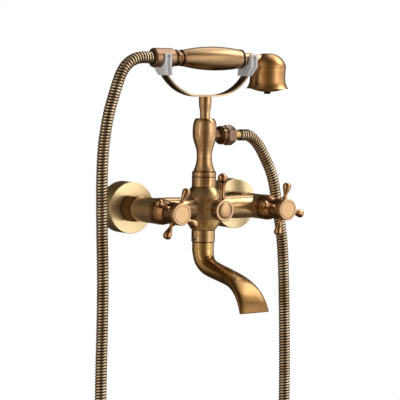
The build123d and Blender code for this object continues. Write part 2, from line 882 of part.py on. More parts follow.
with BuildPart() as diverter_lever:
    with BuildSketch(depth_plane(0, diverter_hub_back)):
        Circle(diverter_hub_radius)
    extrude(amount=diverter_hub_length)
    lever_plane = Plane(origin=(0, -lever_depth, 0), x_dir=(1, 0, 0), z_dir=(0, -1, 0))
    ball_height = lever_top - lever_ball_radius
    with BuildSketch(lever_plane):
        with BuildLine():
            Line((0, diverter_hub_radius / 2), (lever_foot_radius, diverter_hub_radius / 2))
            Line(
                (lever_foot_radius, diverter_hub_radius / 2),
                (lever_foot_radius, diverter_hub_radius),
            )
            Spline(
                (lever_foot_radius, diverter_hub_radius),
                (lever_waist_radius, lever_waist_height),
                (lever_collar_radius, lever_ring_height),
                tangents=((-0.6, 1), (0.5, 1)),
            )
            Line((lever_collar_radius, lever_ring_height), (0, lever_ring_height))
            Line((0, lever_ring_height), (0, diverter_hub_radius / 2))
        make_face()
    revolve(axis=Axis((0, -lever_depth, 0), (0, 0, 1)))
    with BuildSketch(lever_plane):
        with BuildLine():
            CenterArc((0, ball_height), lever_ball_radius, -90, 180)
            Line((0, ball_height + lever_ball_radius), (0, ball_height - lever_ball_radius))
        make_face()
    revolve(axis=Axis((0, -lever_depth, 0), (0, 0, 1)))
    with BuildSketch(depth_plane(0, diverter_hub_back)):
        Circle(diverter_stem_radius + fit_gap)
    extrude(amount=diverter_hub_length, mode=Mode.SUBTRACT)
    with BuildSketch(depth_plane(0, diverter_web)):
        Circle(handle_screw_head + seat_gap)
    extrude(amount=diverter_hub_length, mode=Mode.SUBTRACT)
save(diverter_lever, "diverter_lever")

diverter_screw = slotted_screw(
    depth_plane(0, diverter_web),
    handle_screw_radius,
    handle_screw_length,
    handle_screw_head,
    screw_head_height,
)
save(diverter_screw, "diverter_screw")

with BuildPart() as diverter_cap:
    spigot_back = diverter_hub_front - (diverter_hub_front - diverter_web - screw_head_height) / 2
    rim_front = diverter_hub_front + diverter_cap_edge
    dome_radius = cap_disc_radius - cap_groove
    with BuildSketch(diverter_section):
        with BuildLine():
            Polyline(
                (0, rim_front + diverter_cap_dome),
                (0, spigot_back),
                (handle_screw_head, spigot_back),
                (handle_screw_head, diverter_hub_front),
                (cap_radius, diverter_hub_front),
                (cap_radius, rim_front - cap_groove),
                (cap_radius - cap_groove, rim_front),
                (cap_disc_radius, rim_front),
                (cap_disc_radius, rim_front - cap_groove),
                (dome_radius, rim_front - cap_groove),
            )
            Spline(
                (dome_radius, rim_front - cap_groove),
                (0, rim_front + diverter_cap_dome),
                tangents=((-0.8, 1), (-1, 0)),
            )
        make_face()
    revolve(axis=diverter_axis)
save(diverter_cap, "diverter_cap")

# Riser collar, turned riser column with the side outlet, and the cradle post
collar_bottom = ball_half_height
collar_top = collar_bottom + riser_collar_height
riser_collar = turned(
    body_plane,
    riser_axis,
    [
        (stub_radius + fit_gap, collar_bottom),
        (riser_collar_radius - riser_collar_edge, collar_bottom),
        (riser_collar_radius, collar_bottom + riser_collar_edge),
        (riser_collar_radius, collar_top - riser_collar_band - riser_collar_groove),
        (riser_collar_radius - riser_collar_groove, collar_top - riser_collar_band),
        (riser_collar_radius, collar_top - riser_collar_band + riser_collar_groove),
        (riser_collar_radius, collar_top - riser_collar_edge),
        (riser_collar_radius - riser_collar_edge, collar_top),
        (stub_radius + fit_gap, collar_top),
    ],
)
save(riser_collar, "riser_collar")

stub_top = ball_half_height + top_stub_length
with BuildPart() as riser_column:
    with BuildSketch(body_plane):
        with BuildLine():
            Polyline(
                (0, stub_top),
                (stub_radius, stub_top),
                (stub_radius, collar_top),
                (riser_foot_radius, collar_top),
                (riser_foot_radius, collar_top + riser_foot_height),
            )
            Spline(
                (riser_foot_radius, collar_top + riser_foot_height),
                (riser_waist_radius, riser_waist_height),
                tangents=((-0.45, 1), (0, 1)),
            )
            Spline(
                (riser_waist_radius, riser_waist_height),
                (riser_bulb_radius, riser_bulb_height),
                tangents=((0, 1), (0, 1)),
            )
            Spline(
                (riser_bulb_radius, riser_bulb_height),
                (riser_shoulder_radius, riser_top),
                tangents=((0, 1), (-0.9, 1)),
            )
            Polyline((riser_shoulder_radius, riser_top), (0, riser_top), (0, stub_top))
        make_face()
    revolve(axis=riser_axis)
    outlet_plane = Plane(
        origin=(0, -body_depth, outlet_height), x_dir=(1, 0, 0), z_dir=(0, -1, 0)
    )
    collar_end = outlet_collar_start + outlet_collar_length
    with BuildSketch(outlet_plane):
        with BuildLine():
            Line((0, 0), (0, outlet_neck_radius))
            Line((0, outlet_neck_radius), (riser_bulb_radius, outlet_neck_radius))
            Spline(
                (riser_bulb_radius, outlet_neck_radius),
                (outlet_collar_start, outlet_collar_radius),
                tangents=((1, 0), (0.1, 1)),
            )
            Polyline(
                (outlet_collar_start, outlet_collar_radius),
                (collar_end, outlet_collar_radius),
                (collar_end, outlet_thread_radius),
                (outlet_thread_end, outlet_thread_radius),
                (outlet_thread_end, 0),
                (0, 0),
            )
        make_face()
    revolve(axis=Axis(outlet_plane.origin, outlet_plane.x_dir))
    with BuildSketch(Plane.XY.offset(stub_top)):
        with Locations((0, -body_depth)):
            Circle(riser_bore_radius)
    extrude(amount=outlet_height + outlet_bore_radius - stub_top, mode=Mode.SUBTRACT)
    with BuildSketch(Plane.YZ):
        with Locations((-body_depth, outlet_height)):
            Circle(outlet_bore_radius)
    extrude(amount=outlet_thread_end, mode=Mode.SUBTRACT)
    with BuildSketch(Plane.XY.offset(riser_top)):
        with Locations((0, -body_depth)):
            Circle(post_spigot_radius + fit_gap)
    extrude(amount=-(post_spigot_length + turn_gap), mode=Mode.SUBTRACT)
save(riser_column, "riser_column")

with BuildPart() as cradle_post:
    with BuildSketch(body_plane):
        with BuildLine():
            Polyline(
                (0, riser_top - post_spigot_length),
                (post_spigot_radius, riser_top - post_spigot_length),
                (post_spigot_radius, riser_top),
                (post_neck_radius, riser_top),
                (post_neck_radius, post_neck_top),
            )
            Spline(
                (post_neck_radius, post_neck_top),
                (post_collar_radius, post_ring_height),
                tangents=((0, 1), (0.1, 1)),
            )
            Polyline(
                (post_collar_radius, post_ring_height),
                (post_collar_radius - post_ring_groove, post_ring_height),
                (post_collar_radius - post_ring_groove, post_ring_height + post_ring_groove),
                (post_collar_radius, post_ring_height + post_ring_groove),
                (post_collar_radius, post_top),
                (0, post_top),
                (0, riser_top - post_spigot_length),
            )
        make_face()
    revolve(axis=riser_axis)
    with BuildSketch(Plane.XY.offset(post_top)):
        with Locations((0, -body_depth)):
            Circle(cradle_screw_radius + fit_gap)
    extrude(amount=-(cradle_screw_length + turn_gap), mode=Mode.SUBTRACT)
save(cradle_post, "cradle_post")

# Hose outlet: washer, hexagon nut and ferrule
outlet_section = Plane(
    origin=(0, -body_depth, outlet_height), x_dir=(1, 0, 0), z_dir=(0, -1, 0)
)
outlet_axis = Axis(outlet_section.origin, outlet_section.x_dir)


def along(radii_and_places):
    """Outline of a piece turned about an axis along X: (radius, place) to local x, y."""
    return [(place, radius) for radius, place in radii_and_places]


washer_end = outlet_thread_end + outlet_washer_thickness
outlet_washer = turned(
    outlet_section,
    outlet_axis,
    along(
        ring_outline(outlet_bore_radius, outlet_thread_radius, outlet_thread_end, washer_end)
    ),
)
save(outlet_washer, "outlet_washer")

outlet_nut = hex_nut(
    Plane(
        origin=(outlet_nut_start, -body_depth, outlet_height),
        x_dir=(0, 0, 1),
        z_dir=(1, 0, 0),
    ),
    outlet_nut_length,
    outlet_nut_flats,
    outlet_thread_radius + fit_gap,
    outlet_nut_lip,
    ferrule_radius + seat_gap,
)
save(outlet_nut, "outlet_nut")

flange_end = washer_end + ferrule_flange_thickness
outlet_ferrule = turned(
    outlet_section,
    outlet_axis,
    along(
        [
            (hose_bore_radius, washer_end),
            (ferrule_flange_radius, washer_end),
            (ferrule_flange_radius, flange_end),
            (ferrule_radius, flange_end),
            (ferrule_radius, ferrule_end),
            (hose_core_radius + seat_gap, ferrule_end),
            (hose_core_radius + seat_gap, hose_route[0][0]),
            (hose_bore_radius, hose_route[0][0]),
        ]
    ),
)
save(outlet_ferrule, "outlet_ferrule")

# Shower hose: a ribbed metal sleeve on a plain core whose ends sit in the ferrules
handset_core_end = hose_route[-1][0]
handset_rib_end = handset_nut_start + handset_nut_recess


def corner_radii(points, share=0.45):
    """Radius of each corner's arc, as large as its two runs allow."""
    radii = []
    for before, corner, after in zip(points, points[1:], points[2:]):
        heading_in = atan2(corner[1] - before[1], corner[0] - before[0])
        heading_out = atan2(after[1] - corner[1], after[0] - corner[0])
        turn = abs((heading_out - heading_in + pi) % (2 * pi) - pi)
        shorter = min(dist(before, corner), dist(corner, after))
        radii.append(share * shorter / tan(turn / 2))
    return radii


hose_radii = corner_radii(hose_route)
with BuildLine(body_plane) as hose_line:
    FilletPolyline(*hose_route, radius=hose_radii)
hose_path = hose_line.wires()[0]
hose_length = hose_path.length
rib_start = ferrule_end - hose_route[0][0]
rib_end = hose_length - (handset_core_end - handset_rib_end)
rib_pitch = (rib_end - rib_start) / hose_rib_count


def hose_ring(place, radius):
    """Circle square to the hose, a given length along it."""
    where = hose_path.position_at(place, position_mode=PositionMode.LENGTH)
    heading = hose_path.tangent_at(place, position_mode=PositionMode.LENGTH)
    return Plane(origin=where, x_dir=(0, 1, 0), z_dir=heading), radius


hose_rings = [hose_ring(0, hose_core_radius), hose_ring(rib_start - fit_gap, hose_core_radius)]
for rib in range(hose_rib_count):
    start = rib_start + rib * rib_pitch
    crest = rib_pitch * hose_rib_share
    slope = (rib_pitch - crest) / 3
    hose_rings += [
        hose_ring(start + slope / 2, hose_root_radius),
        hose_ring(start + slope * 1.5, hose_radius),
        hose_ring(start + slope * 1.5 + crest, hose_radius),
        hose_ring(start + slope * 2.5 + crest, hose_root_radius),
    ]
hose_rings += [
    hose_ring(rib_end + fit_gap, hose_core_radius),
    hose_ring(hose_length, hose_core_radius),
]
with BuildPart() as shower_hose:
    for ring_plane, radius in hose_rings:
        with BuildSketch(ring_plane):
            Circle(radius)
    loft(ruled=True)
    with BuildSketch(hose_rings[0][0]):
        Circle(hose_bore_radius)
    sweep(path=hose_path, mode=Mode.SUBTRACT)
save(shower_hose, "shower_hose")
print("hose radii", [round(radius, 1) for radius in hose_radii])
print("hose length", round(hose_length, 1), "volume", round(shower_hose.part.volume))

# Cradle: a flat strip bent to a U, its screw and the two plastic clips
cradle_screw_top = post_top + yoke_thickness - cradle_screw_sink
cradle_screw_neck = cradle_screw_top - (cradle_screw_head - cradle_screw_radius)


def strip_outline(thickness, end_length):
    """Right half of the bent strip seen from the front, from the middle to its end."""
    middle = post_top + yoke_thickness / 2
    centre = middle + yoke_arc_radius
    half = thickness / 2

    def on_arc(offset, angle):
        radius = yoke_arc_radius + offset
        return (yoke_flat_half + radius * sin(angle), centre - radius * cos(angle))

    def past_arc(offset):
        x, z = on_arc(offset, yoke_turn)
        return (x + end_length * cos(yoke_turn), z + end_length * sin(yoke_turn))

    Line((0, middle - half), (yoke_flat_half, middle - half))
    ThreePointArc(on_arc(half, 0), on_arc(half, yoke_turn / 2), on_arc(half, yoke_turn))
    Polyline(on_arc(half, yoke_turn), past_arc(half), past_arc(-half), on_arc(-half, yoke_turn))
    ThreePointArc(on_arc(-half, yoke_turn), on_arc(-half, yoke_turn / 2), on_arc(-half, 0))
    Line((yoke_flat_half, middle + half), (0, middle + half))


with BuildPart() as cradle_yoke:
    with BuildSketch(body_plane):
        with BuildLine():
            strip_outline(yoke_thickness, yoke_end_length)
            mirror(about=Plane.YZ)
        make_face()
    extrude(amount=yoke_width / 2, both=True)
    # Countersunk hole for the screw
    with BuildSketch(body_plane):
        with BuildLine():
            Polyline(
                (0, post_top),
                (cradle_screw_radius + fit_gap, post_top),
                (cradle_screw_radius + fit_gap, cradle_screw_neck),
                (cradle_screw_head + fit_gap, cradle_screw_top),
                (cradle_screw_head + fit_gap, post_top + yoke_thickness),
                (0, post_top + yoke_thickness),
                (0, post_top),
            )
        make_face()
    revolve(axis=riser_axis, mode=Mode.SUBTRACT)
save(cradle_yoke, "cradle_yoke")

with BuildPart() as cradle_screw:
    with BuildSketch(body_plane):
        with BuildLine():
            Polyline(
                (0, post_top - cradle_screw_length),
                (cradle_screw_radius, post_top - cradle_screw_length),
                (cradle_screw_radius, cradle_screw_neck),
                (cradle_screw_head, cradle_screw_top),
                (0, cradle_screw_top),
                (0, post_top - cradle_screw_length),
            )
        make_face()
    revolve(axis=riser_axis)
    with BuildSketch(Plane.XY.offset(cradle_screw_top)):
        with Locations((0, -body_depth)):
            Rectangle(2 * cradle_screw_head, screw_slot_width)
    extrude(amount=-screw_slot_depth, mode=Mode.SUBTRACT)
save(cradle_screw, "cradle_screw")


def clip(label, direction, seat_radius):
    """Plastic saddle on one end of the strip; direction is -1 on the left, 1 on the right."""
    with BuildPart() as saddle:
        with BuildSketch(Plane.XY.offset(clip_bottom)):
            with Locations((direction * clip_base_x, -body_depth)):
                Rectangle(clip_base_thickness, clip_base_width)
        with BuildSketch(Plane.XY.offset(clip_block_bottom)):
            with Locations((direction * clip_x, -body_depth)):
                Rectangle(clip_thickness, clip_width)
        loft(ruled=True)
        with BuildSketch(Plane.XY.offset(clip_block_bottom)):
            with Locations((direction * clip_x, -body_depth)):
                Rectangle(clip_thickness, clip_width)
        extrude(amount=clip_top - clip_block_bottom)
        # Seat for the handset, open at the top
        with BuildSketch(Plane.YZ.offset(direction * clip_x - clip_thickness)):
            with Locations((-body_depth, handset_height)):
                Circle(seat_radius)
            with Locations((-body_depth, handset_height + clip_width / 2)):
                Rectangle(2 * seat_radius, clip_width)
        extrude(amount=2 * clip_thickness, mode=Mode.SUBTRACT)
        # Shallow channel down the front and the back face
        for face in (-1, 1):
            channel_bottom = clip_block_bottom
            channel_top = clip_top - clip_channel_margin
            with BuildSketch(
                Plane(
                    origin=(direction * clip_x, -body_depth + face * clip_width / 2, 0),
                    x_dir=(1, 0, 0),
                    z_dir=(0, -1, 0),
                )
            ):
                with Locations((0, (channel_bottom + channel_top) / 2)):
                    Rectangle(clip_channel_width, channel_top - channel_bottom)
            extrude(amount=clip_channel_depth, both=True, mode=Mode.SUBTRACT)
        # Pocket for the end of the strip
        with BuildSketch(body_plane):
            with BuildLine():
                strip_outline(yoke_thickness + 2 * fit_gap, yoke_end_length + fit_gap)
                mirror(about=Plane.YZ)
            make_face()
        extrude(amount=yoke_width / 2 + fit_gap, both=True, mode=Mode.SUBTRACT)
        # Rounded outer edge on top of each arm
        top_edges = saddle.faces().sort_by(Axis.Z)[-2:].edges().group_by(Axis.Y)
        fillet(top_edges[0] + top_edges[-1], clip_top_rounding)
    save(saddle, label)


clip("clip_left", -1, handset_nut_radius + rest_gap)
clip("clip_right", 1, neck_radius + rest_gap)

# Handset: hose nut, tail, hollow grip with its inner tube, ring and neck
handset_section = Plane(
    origin=(0, -body_depth, handset_height), x_dir=(1, 0, 0), z_dir=(0, -1, 0)
)
handset_axis = Axis(handset_section.origin, handset_section.x_dir)
ferrule_end_face = handset_thread_start - handset_washer_thickness
ferrule_flange_back = ferrule_end_face - ferrule_flange_thickness
lip_start = ferrule_flange_back - handset_nut_lip

handset_nut = turned(
    handset_section,
    handset_axis,
    along(
        [
            (handset_recess_radius, handset_nut_start),
            (handset_nut_radius - handset_nut_edge, handset_nut_start),
            (handset_nut_radius, handset_nut_start + handset_nut_edge),
            (handset_nut_radius, handset_nut_end - handset_nut_shoulder_length),
            (
                handset_nut_radius - handset_nut_shoulder * 0.35,
                handset_nut_end - handset_nut_shoulder_length * 0.35,
            ),
            (handset_nut_radius - handset_nut_shoulder, handset_nut_end),
            (handset_thread_radius + fit_gap, handset_nut_end),
            (handset_thread_radius + fit_gap, ferrule_flange_back),
            (ferrule_radius + seat_gap, ferrule_flange_back),
            (ferrule_radius + seat_gap, lip_start),
            (handset_recess_radius, lip_start),
        ]
    ),
)
save(handset_nut, "handset_nut")

handset_washer = turned(
    handset_section,
    handset_axis,
    along(
        ring_outline(
            outlet_bore_radius, handset_thread_radius, ferrule_end_face, handset_thread_start
        )
    ),
)
save(handset_washer, "handset_washer")

handset_ferrule = turned(
    handset_section,
    handset_axis,
    along(
        [
            (hose_bore_radius, ferrule_end_face),
            (ferrule_flange_radius, ferrule_end_face),
            (ferrule_flange_radius, ferrule_flange_back),
            (ferrule_radius, ferrule_flange_back),
            (ferrule_radius, handset_rib_end + seat_gap),
            (hose_core_radius + seat_gap, handset_rib_end + seat_gap),
            (hose_core_radius + seat_gap, handset_core_end + fit_gap),
            (hose_bore_radius, handset_core_end + fit_gap),
        ]
    ),
)
save(handset_ferrule, "handset_ferrule")

with BuildPart() as handset_tail:
    with BuildSketch(handset_section):
        with BuildLine():
            Polyline(
                (handset_thread_start, inner_tube_bore),
                (handset_thread_start, handset_thread_radius),
                (handset_nut_end, handset_thread_radius),
                (handset_nut_end, tail_valley_radius),
            )
            ThreePointArc(
                (handset_nut_end, tail_valley_radius),
                ((handset_nut_end + tail_ring_end) / 2, tail_ring_radius),
                (tail_ring_end, tail_valley_radius),
            )
            Polyline(
                (tail_ring_end, tail_valley_radius),
                (tail_ring_end, tail_groove_radius),
                (tail_flange_start, tail_groove_radius),
                (tail_flange_start, tail_flange_radius),
                (grip_start, tail_flange_radius),
                (grip_start, spigot_radius),
                (grip_start + spigot_length, spigot_radius),
                (grip_start + spigot_length, inner_tube_radius + fit_gap),
                (tail_flange_start, inner_tube_radius + fit_gap),
                (tail_flange_start, inner_tube_bore),
                (handset_thread_start, inner_tube_bore),
            )
        make_face()
    revolve(axis=handset_axis)
save(handset_tail, "handset_tail")

with BuildPart() as handset_grip:
    with BuildSketch(handset_section):
        with BuildLine():
            Line((grip_start, grip_bore_radius), (grip_start, grip_start_radius))
            Spline(
                (grip_start, grip_start_radius),
                (grip_belly_place, grip_belly_radius),
                (grip_end, grip_end_radius),
            )
            Polyline(
                (grip_end, grip_end_radius),
                (grip_end, grip_bore_radius),
                (grip_start, grip_bore_radius),
            )
        make_face()
    revolve(axis=handset_axis)
save(handset_grip, "handset_grip")

handset_tube = turned(
    handset_section,
    handset_axis,
    along(ring_outline(inner_tube_bore, inner_tube_radius, tail_flange_start, grip_end)),
)
save(handset_tube, "handset_tube")

ring_end = grip_end + black_ring_length
handset_ring = turned(
    handset_section,
    handset_axis,
    along(ring_outline(spigot_radius + fit_gap, black_ring_radius, grip_end, ring_end)),
)
save(handset_ring, "handset_ring")


# Bell-shaped head: outer form, wall and central boss
bell_plane = Plane(origin=(bell_x, -body_depth, 0), x_dir=(1, 0, 0), z_dir=(0, -1, 0))
bell_axis = Axis((bell_x, -body_depth, 0), (0, 0, 1))


def bell_profile(inset):
    """Closed half section of the bell's form, drawn in from its outside by inset."""
    Line((0, bell_lip_height), (0, bell_top - inset))
    ThreePointArc(
        (0, bell_top - inset),
        (bell_bulge_radius - 0.7 * inset, bell_bulge_height - 0.7 * inset),
        (bell_radius - inset, bell_shoulder_height),
    )
    Polyline(
        (bell_radius - inset, bell_shoulder_height),
        (bell_radius + bell_ring_step - inset, bell_ring_height + bell_ring_step),
        (bell_radius - inset, bell_ring_height),
        (bell_skirt_radius - inset, bell_skirt_height),
    )
    Spline(
        (bell_skirt_radius - inset, bell_skirt_height),
        (bell_lip_radius - inset, bell_lip_height),
        tangents=((0, -1), (0.6, -0.8)),
    )
    Line((bell_lip_radius - inset, bell_lip_height), (0, bell_lip_height))


face_top = bell_lip_height + face_edge_thickness + face_inset
gasket_top = face_top + gasket_thickness
stem_start = bell_x - bell_radius - bell_wall
stem_end = bell_x - bell_boss_radius - bell_wall
with BuildPart() as bell_head:
    with BuildSketch(bell_plane):
        with BuildLine():
            bell_profile(0)
        make_face()
    revolve(axis=bell_axis)
    with BuildSketch(bell_plane):
        with BuildLine():
            bell_profile(bell_wall)
        make_face()
    revolve(axis=bell_axis, mode=Mode.SUBTRACT)
    with BuildSketch(Plane.XY.offset(bell_boss_bottom)):
        with Locations((bell_x, -body_depth)):
            Circle(bell_boss_radius)
    extrude(amount=bell_top - bell_wall / 2 - bell_boss_bottom)
    with BuildSketch(Plane.XY.offset(bell_boss_bottom)):
        with Locations((bell_x, -body_depth)):
            Circle(face_screw_radius + fit_gap)
    extrude(amount=(bell_shoulder_height - bell_boss_bottom), mode=Mode.SUBTRACT)
    with BuildSketch(Plane.YZ.offset(stem_start)):
        with Locations((-body_depth, handset_height)):
            Circle(neck_stem_radius + fit_gap)
    extrude(amount=stem_end - stem_start, mode=Mode.SUBTRACT)
    with BuildSketch(Plane.XY.offset(gasket_top)):
        with Locations((bell_x, -body_depth)):
            Circle(bell_ledge_radius)
            Circle(gasket_inner_radius, mode=Mode.SUBTRACT)
    extrude(amount=bell_ledge_height)
save(bell_head, "bell_head")

# Neck: its end is cut to the bell, and a stem is brazed into the bell's wall
with BuildPart() as handset_neck:
    with BuildSketch(handset_section):
        with BuildLine():
            Polyline(
                (grip_end - spigot_length, inner_tube_radius + fit_gap),
                (grip_end - spigot_length, spigot_radius),
                (ring_end, spigot_radius),
                (ring_end, neck_shoulder_radius),
                (ring_end + neck_shoulder_length, neck_shoulder_radius),
            )
            Spline(
                (ring_end + neck_shoulder_length, neck_shoulder_radius),
                (neck_taper_end, neck_radius),
                tangents=((0.8, -1), (1, 0)),
            )
            Polyline(
                (neck_taper_end, neck_radius),
                (neck_step_start, neck_radius),
                (neck_step_end, neck_end_radius),
                (bell_x, neck_end_radius),
                (bell_x, inner_tube_bore),
                (grip_end, inner_tube_bore),
                (grip_end, inner_tube_radius + fit_gap),
                (grip_end - spigot_length, inner_tube_radius + fit_gap),
            )
        make_face()
    revolve(axis=handset_axis)
    with BuildSketch(bell_plane):
        with BuildLine():
            bell_profile(0)
        make_face()
    revolve(axis=bell_axis, mode=Mode.SUBTRACT)
    with BuildSketch(Plane.YZ.offset(neck_step_end)):
        with Locations((-body_depth, handset_height)):
            Circle(neck_stem_radius)
            Circle(inner_tube_bore, mode=Mode.SUBTRACT)
    extrude(amount=stem_end - neck_step_end)
    with BuildSketch(bell_plane):
        with BuildLine():
            bell_profile(bell_wall)
        make_face()
    revolve(axis=bell_axis, mode=Mode.SUBTRACT)
save(handset_neck, "handset_neck")

# Spray face with its rings of jets, gasket and centre screw
face_edge_bottom = bell_lip_height + face_inset
face_bottom = face_edge_bottom - face_bulge
with BuildPart() as spray_face:
    with BuildSketch(bell_plane):
        with BuildLine():
            Line((0, face_top), (face_radius, face_top))
            Line((face_radius, face_top), (face_radius, face_edge_bottom))
            ThreePointArc(
                (face_radius, face_edge_bottom),
                (face_radius * 0.55, face_bottom + face_bulge * 0.3),
                (0, face_bottom),
            )
            Line((0, face_bottom), (0, face_top))
        make_face()
    revolve(axis=bell_axis)
    with BuildSketch(Plane.XY.offset(face_bottom)):
        for ring_radius, count in face_rings:
            with Locations((bell_x, -body_depth)):
                with PolarLocations(ring_radius, count):
                    Circle(face_hole_radius)
        with Locations((bell_x, -body_depth)):
            Circle(face_screw_radius + fit_gap)
    extrude(amount=face_top - face_bottom, mode=Mode.SUBTRACT)
save(spray_face, "spray_face")

with BuildPart() as head_gasket:
    with BuildSketch(Plane.XY.offset(face_top)):
        with Locations((bell_x, -body_depth)):
            Circle(gasket_radius)
            Circle(gasket_inner_radius, mode=Mode.SUBTRACT)
    extrude(amount=gasket_thickness)
save(head_gasket, "head_gasket")

with BuildPart() as spray_screw:
    with BuildSketch(Plane.XY.offset(face_bottom - face_screw_height)):
        with Locations((bell_x, -body_depth)):
            Circle(face_screw_head)
    extrude(amount=face_screw_height)
    fillet(spray_screw.edges().group_by(Axis.Z)[0], face_screw_rounding)
    with BuildSketch(Plane.XY.offset(face_bottom)):
        with Locations((bell_x, -body_depth)):
            Circle(face_screw_radius)
    extrude(amount=bell_shoulder_height - face_bottom - turn_gap)
save(spray_screw, "spray_screw")

# Spout collar, swivel spout, its two seals and the grub screw
spout_collar_bottom = -ball_half_height - spout_collar_height
spout_flange_top = -ball_half_height - bottom_stub_length - fit_gap
spout_top = spout_collar_bottom - fit_gap
slot_bottom = grub_screw_height - grub_screw_radius - fit_gap
slot_top = grub_screw_height + grub_screw_radius + fit_gap
grub_heading = radians(grub_screw_angle)
grub_plane = Plane(
    origin=(
        (spout_collar_radius - spout_collar_edge / 2) * cos(grub_heading),
        -body_depth + (spout_collar_radius - spout_collar_edge / 2) * sin(grub_heading),
        grub_screw_height,
    ),
    x_dir=(-sin(grub_heading), cos(grub_heading), 0),
    z_dir=(cos(grub_heading), sin(grub_heading), 0),
)
with BuildPart() as spout_collar:
    with BuildSketch(body_plane):
        with BuildLine():
            Polyline(
                (stub_radius + fit_gap, -ball_half_height),
                (spout_collar_radius - spout_collar_edge, -ball_half_height),
                (spout_collar_radius, -ball_half_height - spout_collar_edge),
                (spout_collar_radius, spout_collar_bottom + spout_collar_edge),
                (spout_collar_radius - spout_collar_edge, spout_collar_bottom),
                (stub_radius + fit_gap, spout_collar_bottom),
                close=True,
            )
        make_face()
    revolve(axis=riser_axis)
    with BuildSketch(grub_plane.offset(spout_collar_edge)):
        Circle(grub_screw_radius + fit_gap)
    extrude(amount=-(spout_collar_radius - spout_groove_depth * 2), mode=Mode.SUBTRACT)
save(spout_collar, "spout_collar")

with BuildPart() as grub_screw:
    with BuildSketch(grub_plane.offset(-spout_collar_edge)):
        Circle(grub_screw_radius)
    extrude(amount=-(grub_screw_length - spout_collar_edge))
    with BuildSketch(grub_plane.offset(-spout_collar_edge)):
        RegularPolygon(grub_screw_radius * 0.55, 6)
    extrude(amount=-grub_screw_length / 2, mode=Mode.SUBTRACT)
save(grub_screw, "grub_screw")


def spout_plane(depth, height, tilt):
    """Plane of one spout section, square to the way the spout runs there."""
    lean = radians(tilt)
    return Plane(
        origin=(0, -depth, height), x_dir=(1, 0, 0), z_dir=(0, -cos(lean), -sin(lean))
    )


seal_grooves = [
    -ball_half_height - bottom_stub_length / 2 + place * spout_groove_spacing / 2
    for place in (-1, 1)
]
with BuildPart() as spout:
    for inset, top, loft_mode in (
        (0, spout_top, Mode.ADD),
        (spout_wall, spout_top - spout_plug_height, Mode.SUBTRACT),
    ):
        with BuildSketch(spout_plane(body_depth, top, 90)):
            RectangleRounded(
                spout_tube_width - 2 * inset,
                spout_tube_width - 2 * inset,
                spout_tube_corner - inset,
            )
        for depth, height, tilt, width, thickness, corner in spout_sections:
            with BuildSketch(spout_plane(depth, height, tilt)):
                RectangleRounded(
                    width - 2 * inset, thickness - 2 * inset, max(corner - inset, corner / 5)
                )
        loft(mode=loft_mode)
    with BuildSketch(body_plane):
        with BuildLine():
            Polyline(
                (0, spout_top),
                (spout_flange_radius, spout_top),
                (spout_flange_radius, slot_bottom),
                (spout_slot_radius, slot_bottom),
                (spout_slot_radius, slot_top),
                (spout_flange_radius, slot_top),
                (spout_flange_radius, spout_flange_top),
                (spout_tail_radius, spout_flange_top),
                (spout_tail_radius, spout_flange_top + spout_tail_length),
                (0, spout_flange_top + spout_tail_length),
                close=True,
            )
        make_face()
    revolve(axis=riser_axis)
    with BuildSketch(Plane.XY.offset(spout_flange_top + spout_tail_length)):
        with Locations((0, -body_depth)):
            Circle(spout_bore_radius)
    extrude(
        amount=-(spout_flange_top + spout_tail_length - spout_top + 1.2 * spout_plug_height),
        mode=Mode.SUBTRACT,
    )
    for groove in seal_grooves:
        with BuildSketch(body_plane):
            with Locations((spout_tail_radius, groove)):
                Rectangle(2 * spout_groove_depth, spout_groove_width)
        revolve(axis=riser_axis, mode=Mode.SUBTRACT)
save(spout, "spout")

with BuildPart() as spout_seals:
    for groove in seal_grooves:
        with BuildSketch(body_plane):
            with Locations((spout_tail_radius - spout_groove_depth / 2, groove)):
                Rectangle(spout_groove_depth, spout_groove_width - 2 * fit_gap)
        revolve(axis=riser_axis)
save(spout_seals, "spout_seals")
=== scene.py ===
from math import atan2, copysign, cos, pi, radians, sin

import bmesh
import bpy
from mathutils import Matrix, Vector
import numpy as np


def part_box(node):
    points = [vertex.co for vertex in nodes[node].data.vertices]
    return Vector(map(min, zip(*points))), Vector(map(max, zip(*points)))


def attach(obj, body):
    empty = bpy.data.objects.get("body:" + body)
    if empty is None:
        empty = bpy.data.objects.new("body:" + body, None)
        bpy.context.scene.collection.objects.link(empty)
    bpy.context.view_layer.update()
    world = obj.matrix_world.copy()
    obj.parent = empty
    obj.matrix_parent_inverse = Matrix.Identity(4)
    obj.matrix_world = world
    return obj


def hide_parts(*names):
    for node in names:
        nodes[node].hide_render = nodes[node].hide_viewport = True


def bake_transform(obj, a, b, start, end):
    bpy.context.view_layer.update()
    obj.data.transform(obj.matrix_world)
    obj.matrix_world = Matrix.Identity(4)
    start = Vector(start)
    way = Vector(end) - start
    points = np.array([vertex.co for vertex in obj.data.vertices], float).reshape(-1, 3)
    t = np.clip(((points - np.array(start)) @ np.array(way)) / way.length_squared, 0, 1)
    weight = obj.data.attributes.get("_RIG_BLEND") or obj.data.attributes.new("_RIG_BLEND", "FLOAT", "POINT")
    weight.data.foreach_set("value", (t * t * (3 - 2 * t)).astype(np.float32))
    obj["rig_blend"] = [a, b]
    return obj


# Antique-brass bath and shower mixer: the finish of every piece, the fanned spout and the wound
# hose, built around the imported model. Lengths are in metres.

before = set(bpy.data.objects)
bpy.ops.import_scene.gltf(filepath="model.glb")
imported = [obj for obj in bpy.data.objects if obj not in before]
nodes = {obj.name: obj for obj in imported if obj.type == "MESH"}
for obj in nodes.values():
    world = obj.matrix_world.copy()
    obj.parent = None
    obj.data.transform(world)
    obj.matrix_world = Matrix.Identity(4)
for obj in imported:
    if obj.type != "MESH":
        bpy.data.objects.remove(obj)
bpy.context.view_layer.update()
mm = 0.001
